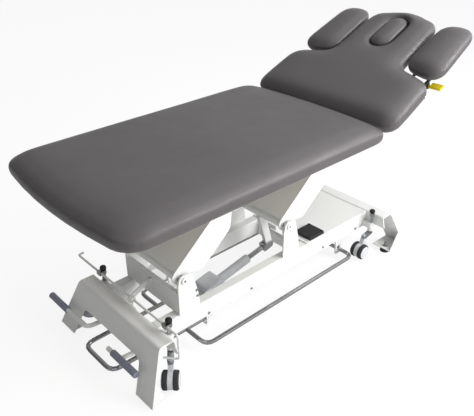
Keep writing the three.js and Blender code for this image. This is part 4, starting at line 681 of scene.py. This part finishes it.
capEnds("foot_lower_shaft", "base", pivotCap)
capEnds("head_lower_shaft", "base", pivotCap)
capEnds("foot_upper_shaft", "couch_frame", pivotCap)
capEnds("head_upper_shaft", "couch_frame", pivotCap)
capEnds("head_hinge_shaft", "couch_frame", hingeCap)

# small button-head screws
buttonScrew = {
    "profile": [(5.4, 0.05), (5.6, 0.5), (5.1, 1.7), (3.9, 2.7), (2.3, 3.1), (2.2, 1.4)], "sides": 18,
    "outerFace": 154,  # how far the rails' outer faces are from the middle
    "rail": [(414, 122), (618, 122), (1020, 122), (1230, 122)],  # along and up
    "tower": [(364, 246), (367, 222)],  # along and up
    "box": [(951, -141), (951, -73), (1019, -141), (1019, -73)],  # along and across
}


def screws(name, spots, slotName="steel"):
    work = bmesh.new()
    for place, direction in spots:
        turnOn(work, place, direction, buttonScrew["profile"], buttonScrew["sides"])
    return piece(name, work, slotName, "base", 35)


def onOuterFaces(spots):
    face = buttonScrew["outerFace"]
    return [(at(x, sign * face, z), (0, sign, 0)) for x, z in spots for sign in (-1, 1)]


screws("railScrews", onOuterFaces(buttonScrew["rail"]))
screws("towerScrews", onOuterFaces(buttonScrew["tower"]))
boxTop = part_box("control_box")[1].z
onBox = [(Vector((at(x, y, 0).x, y / 1000, boxTop)), (0, 0, 1)) for x, y in buttonScrew["box"]]
screws("boxScrews", onBox, "black_plastic")

# castors: a pale hub cap with a groove and shallow spokes on each outer wheel face
hubCap = {
    "seat": 26.65, "sides": 40,
    "profile": [(26, 0), (26.8, 0.7), (26.2, 2.2), (24, 3.1), (21.4, 3.5), (20.8, 3), (20.2, 3),
                (19.6, 3.6), (9, 4.3), (8.2, 3.8), (7.6, 4.4), (3, 5)],
    "spokes": 6, "spokeWidth": 3.2,
    "spoke": ((9, 4.15), (19, 3.45), (19, 4.1), (9, 4.9)),  # out from the axle and up from the seat
}
joints = {joint["name"]: joint for joint in frame["record"]["behaviour"]["joints"]}


def spokeOn(work, centre, way, ray):
    flank = way.cross(ray)
    made = []
    for reach, rise in hubCap["spoke"]:
        for half in (-1, 1):
            offset = way * (hubCap["seat"] + rise) + ray * reach + flank * half * hubCap["spokeWidth"] / 2
            made.append(work.verts.new(centre + offset / 1000))
    a, b, c, d, e, f, g, h = made
    for face in ((a, b, d, c), (e, f, h, g), (a, c, e, g), (b, d, f, h), (a, b, h, g), (c, d, f, e)):
        work.faces.new(face)


def hubCaps(end, side):
    spin = joints[f"castor_spin_{end}_{side}"]
    centre, axle = Vector(spin["pos_m"]), Vector(spin["axis"])
    work = bmesh.new()
    for sign in (-1, 1):
        way = axle * sign
        turnOn(work, centre + way * (hubCap["seat"] / 1000), way, hubCap["profile"], hubCap["sides"])
        for k in range(hubCap["spokes"]):
            turn = Matrix.Rotation(math.tau * k / hubCap["spokes"], 3, way)
            spokeOn(work, centre, way, turn @ Vector((0, 0, 1)))
    piece(f"hubCaps_{end}_{side}", work, "grey_plastic", f"wheels_{end}_{side}", 32)


# knobs: a black ribbed cap pressed over the dome of each castor post
knob = {
    "profile": [(8.4, 0.8), (8.9, 2.5), (11.3, 5.3), (11.8, 6.4), (11.8, 10.5), (11.2, 12.1),
                (9.8, 14.8), (6.8, 16.9), (3.2, 17.7)],
    "sides": 40, "height": 17.15,
    "ribs": 20, "ribDepth": 0.955, "ribFrom": 0.006, "ribTo": 0.0107,
    "inFromEnd": 147, "postY": 193, "baseStart": 70, "baseEnd": 1432,
}


def knobCap(end, side):
    sign = -1 if side == "front" else 1
    x = knob["baseStart"] + knob["inFromEnd"] if end == "foot" else knob["baseEnd"] - knob["inFromEnd"]
    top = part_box(f"castor_carriage_{end}_{side}")[1].z * 1000
    work = bmesh.new()
    seat = at(x, sign * knob["postY"], top - knob["height"])
    turnOn(work, seat, (0, 0, 1), knob["profile"], knob["sides"])
    # every other point of the waist comes in, which leaves ribs to grip
    for v in work.verts:
        off = v.co - seat
        turn = math.atan2(off.y, off.x)
        if knob["ribFrom"] < off.z < knob["ribTo"] and math.cos(turn * knob["ribs"]) < 0:
            v.co = seat + Vector((off.x * knob["ribDepth"], off.y * knob["ribDepth"], off.z))
    piece(f"knobCap_{end}_{side}", work, "black_plastic", f"{end}_castors", 50)


for end, side in corners:
    hubCaps(end, side)
    knobCap(end, side)
print("castor caps and knobs built")

# pedal grips: a moulded cap on each free end
gripEnd = {"profile": [(12.1, 0.05), (12.5, 0.5), (12.5, 2), (11.4, 3.4), (8, 4.3), (3, 4.6)], "sides": 32}
for body, sign in (("lift_pedal", 1), ("release_pedal", -1)):
    low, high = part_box(f"{body}_grip")
    centre = (low + high) / 2
    tip = Vector((centre.x, high.y if sign > 0 else low.y, centre.z))
    work = bmesh.new()
    turnOn(work, tip, (0, sign, 0), gripEnd["profile"], gripEnd["sides"])
    piece(f"gripEnd_{body}", work, "grip_rubber", body)

# plugs in the open ends of the frame's tubes; thick and half are half sizes
tubePlug = {
    "thick": 1.4, "inset": 1.5, "edge": 0.9, "gap": 0.1,
    "topFrame": {"x": 90, "y": 151, "z": 591.9, "half": (20, 17.5)},
    "headFrame": {"s": 572, "y": 85, "t": -1.6, "half": (13, 11)},
}


def blockOn(work, centre, half, axes, edge):
    # an eased box: half sizes and the edge in millimetres
    made = bmesh.ops.create_cube(work, size=2)["verts"]
    turn = Matrix(axes).transposed()
    for v in made:
        v.co = centre + turn @ Vector([c * h / 1000 for c, h in zip(v.co, half)])
    lines = list({line for v in made for line in v.link_edges})
    bmesh.ops.bevel(work, geom=lines, offset=edge / 1000, segments=2, profile=0.6, affect="EDGES")


def tubePlugs(name, body, places, half, axes):
    size = (tubePlug["thick"], half[0] - tubePlug["inset"], half[1] - tubePlug["inset"])
    work = bmesh.new()
    for place in places:
        blockOn(work, place, size, axes, tubePlug["edge"])
    piece(name, work, "black_plastic", body)


standOut = tubePlug["thick"] + tubePlug["gap"]
onTop, onTilt = tubePlug["topFrame"], tubePlug["headFrame"]
across = Vector((0, 1, 0))
tubePlugs("tubePlugs_topFrame", "couch_frame",
          [at(onTop["x"] - standOut, sign * onTop["y"], onTop["z"]) for sign in (-1, 1)],
          onTop["half"], (Vector((1, 0, 0)), across, Vector((0, 0, 1))))
tubePlugs("tubePlugs_headFrame", "head_section",
          [onHead(onTilt["s"] + standOut, sign * onTilt["y"], onTilt["t"]) for sign in (-1, 1)],
          onTilt["half"], (headAlong, across, headUp))

# weld beads along the feet of the uprights
weld = {
    "radius": 1.9, "ripple": 3.2, "bulge": 0.22, "sides": 10,
    "y": 147.6, "z": 178.6, "runs": ((293, 376), (786, 868)),  # from and to, along
}


def weldBead(work, start, end):
    run = end - start
    basis = frameFor(run)
    length = run.length * 1000
    steps = max(8, round(length / weld["ripple"] * 4))
    rings = []
    for i in range(steps + 1):
        share = i / steps
        swell = 1 + weld["bulge"] * math.sin(share * length / weld["ripple"] * math.tau)
        close = min(1, 0.25 + min(share, 1 - share) * steps / 4)
        radius = weld["radius"] * swell * close / 1000
        ring = []
        for k in range(weld["sides"]):
            a = math.tau * k / weld["sides"]
            spot = basis @ Vector((radius * math.cos(a), radius * math.sin(a), 0))
            ring.append(work.verts.new(start + run * share + spot))
        rings.append(ring)
    joinRings(work, rings)


work = bmesh.new()
for sign in (-1, 1):
    for start, end in weld["runs"]:
        weldBead(work, at(start, sign * weld["y"], weld["z"]), at(end, sign * weld["y"], weld["z"]))
piece("weldBeads_uprights", work, "frame_paint", "base", 60)
print("screws, plugs and welds built")

stageLook = {
    "floor": {"color": swatch(238, 238, 238), "roughness": 0.8, "reach": 14, "drop": 0.0006,
              "glow": 0.8, "glowPower": 1.06, "glowInGloss": 0.4},
    "sky": {"toward": (0.62, -0.72, 0.32), "dim": 0.05, "bright": 0.84},
    # inGloss False: lights the surfaces but isn't mirrored in them
    "lamps": [
        {"name": "frontSoft", "place": (1.3, -2.9, 1.7), "aim": (0.1, 0, 0.55),
         "size": (2.6, 1.3), "power": 104, "inGloss": False},
        {"name": "rollLight", "place": (1.75, -1.9, 2.7), "aim": (0.1, -0.2, 0.65),
         "size": (1.5, 0.8), "power": 36, "inGloss": True},
        {"name": "topSoft", "place": (1.3, -0.2, 2.7), "aim": (0.2, 0, 0.5),
         "size": (1.8, 1.8), "power": 5, "inGloss": True},
        {"name": "headFill", "place": (3.4, -0.6, 1.5), "aim": (0.5, 0, 0.6),
         "size": (1.6, 1.4), "power": 9, "inGloss": True},
    ],
}


def addFloor(look):
    far = look["reach"]
    mesh = bpy.data.meshes.new("floor")
    mesh.from_pydata([(-far, -far, 0), (far, -far, 0), (far, far, 0), (-far, far, 0)], [], [(0, 1, 2, 3)])
    floor = bpy.data.objects.new("floor", mesh)
    scene.collection.objects.link(floor)
    floor.location.z = -look["drop"]
    mat = bpy.data.materials.new("paleFloor")
    mat.use_nodes = True
    tree = mat.node_tree
    shader = tree.nodes["Principled BSDF"]
    shader.inputs["Roughness"].default_value = look["roughness"]
    shader.inputs["Base Color"].default_value = look["color"]
    ray = tree.nodes.new("ShaderNodeLightPath")
    direct, mirrored = ray.outputs["Is Camera Ray"], ray.outputs["Is Glossy Ray"]
    # shiny metal sees a darker floor than the camera does
    power = wired(tree, "ShaderNodeMapRange", {
        "Value": mirrored, "To Min": look["glowPower"], "To Max": look["glowInGloss"]})
    glow = wired(tree, "ShaderNodeEmission", {"Strength": power.outputs["Result"]})
    seen = wired(tree, "ShaderNodeMath", {0: direct, 1: mirrored}, operation="MAXIMUM")
    share = wired(tree, "ShaderNodeMath", {0: seen.outputs[0], 1: look["glow"]}, operation="MULTIPLY")
    blend = wired(tree, "ShaderNodeMixShader", {
        0: share.outputs[0], 1: shader.outputs[0], 2: glow.outputs[0]})
    tree.links.new(blend.outputs[0], tree.nodes["Material Output"].inputs["Surface"])
    mesh.materials.append(mat)


def addSky(look):
    # the studio is brighter on the side of its front lamps, and plain white to the camera
    sky = bpy.data.worlds.new("studio")
    scene.world = sky
    sky.use_nodes = True
    tree = sky.node_tree
    tree.nodes.clear()
    white = (1, 1, 1, 1)
    way = tree.nodes.new("ShaderNodeTexCoord").outputs["Generated"]
    facing = wired(tree, "ShaderNodeVectorMath", {0: way, 1: look["toward"]}, operation="DOT_PRODUCT")
    level = wired(tree, "ShaderNodeMapRange", {
        "Value": facing.outputs["Value"], "From Min": -1, "From Max": 1,
        "To Min": look["dim"], "To Max": look["bright"]})
    soft = wired(tree, "ShaderNodeBackground", {"Color": white, "Strength": level.outputs["Result"]})
    plain = wired(tree, "ShaderNodeBackground", {"Color": white, "Strength": 1.0})
    ray = tree.nodes.new("ShaderNodeLightPath")
    seen = wired(tree, "ShaderNodeMath", {
        0: ray.outputs["Is Camera Ray"], 1: ray.outputs["Is Transmission Ray"]}, operation="MAXIMUM")
    blend = wired(tree, "ShaderNodeMixShader", {
        0: seen.outputs[0], 1: soft.outputs[0], 2: plain.outputs[0]})
    out = tree.nodes.new("ShaderNodeOutputWorld")
    tree.links.new(blend.outputs[0], out.inputs["Surface"])


def addLamp(lamp):
    data = bpy.data.lights.new(lamp["name"], "AREA")
    data.shape = "RECTANGLE"
    data.size, data.size_y = lamp["size"]
    data.energy = lamp["power"]
    obj = bpy.data.objects.new(lamp["name"], data)
    scene.collection.objects.link(obj)
    obj.location = lamp["place"]
    obj.visible_glossy = lamp["inGloss"]
    gaze = Vector(lamp["aim"]) - Vector(lamp["place"])
    obj.rotation_euler = gaze.to_track_quat("-Z", "Y").to_euler()


addFloor(stageLook["floor"])
addSky(stageLook["sky"])
for lamp in stageLook["lamps"]:
    addLamp(lamp)
print("stage and lamps placed")
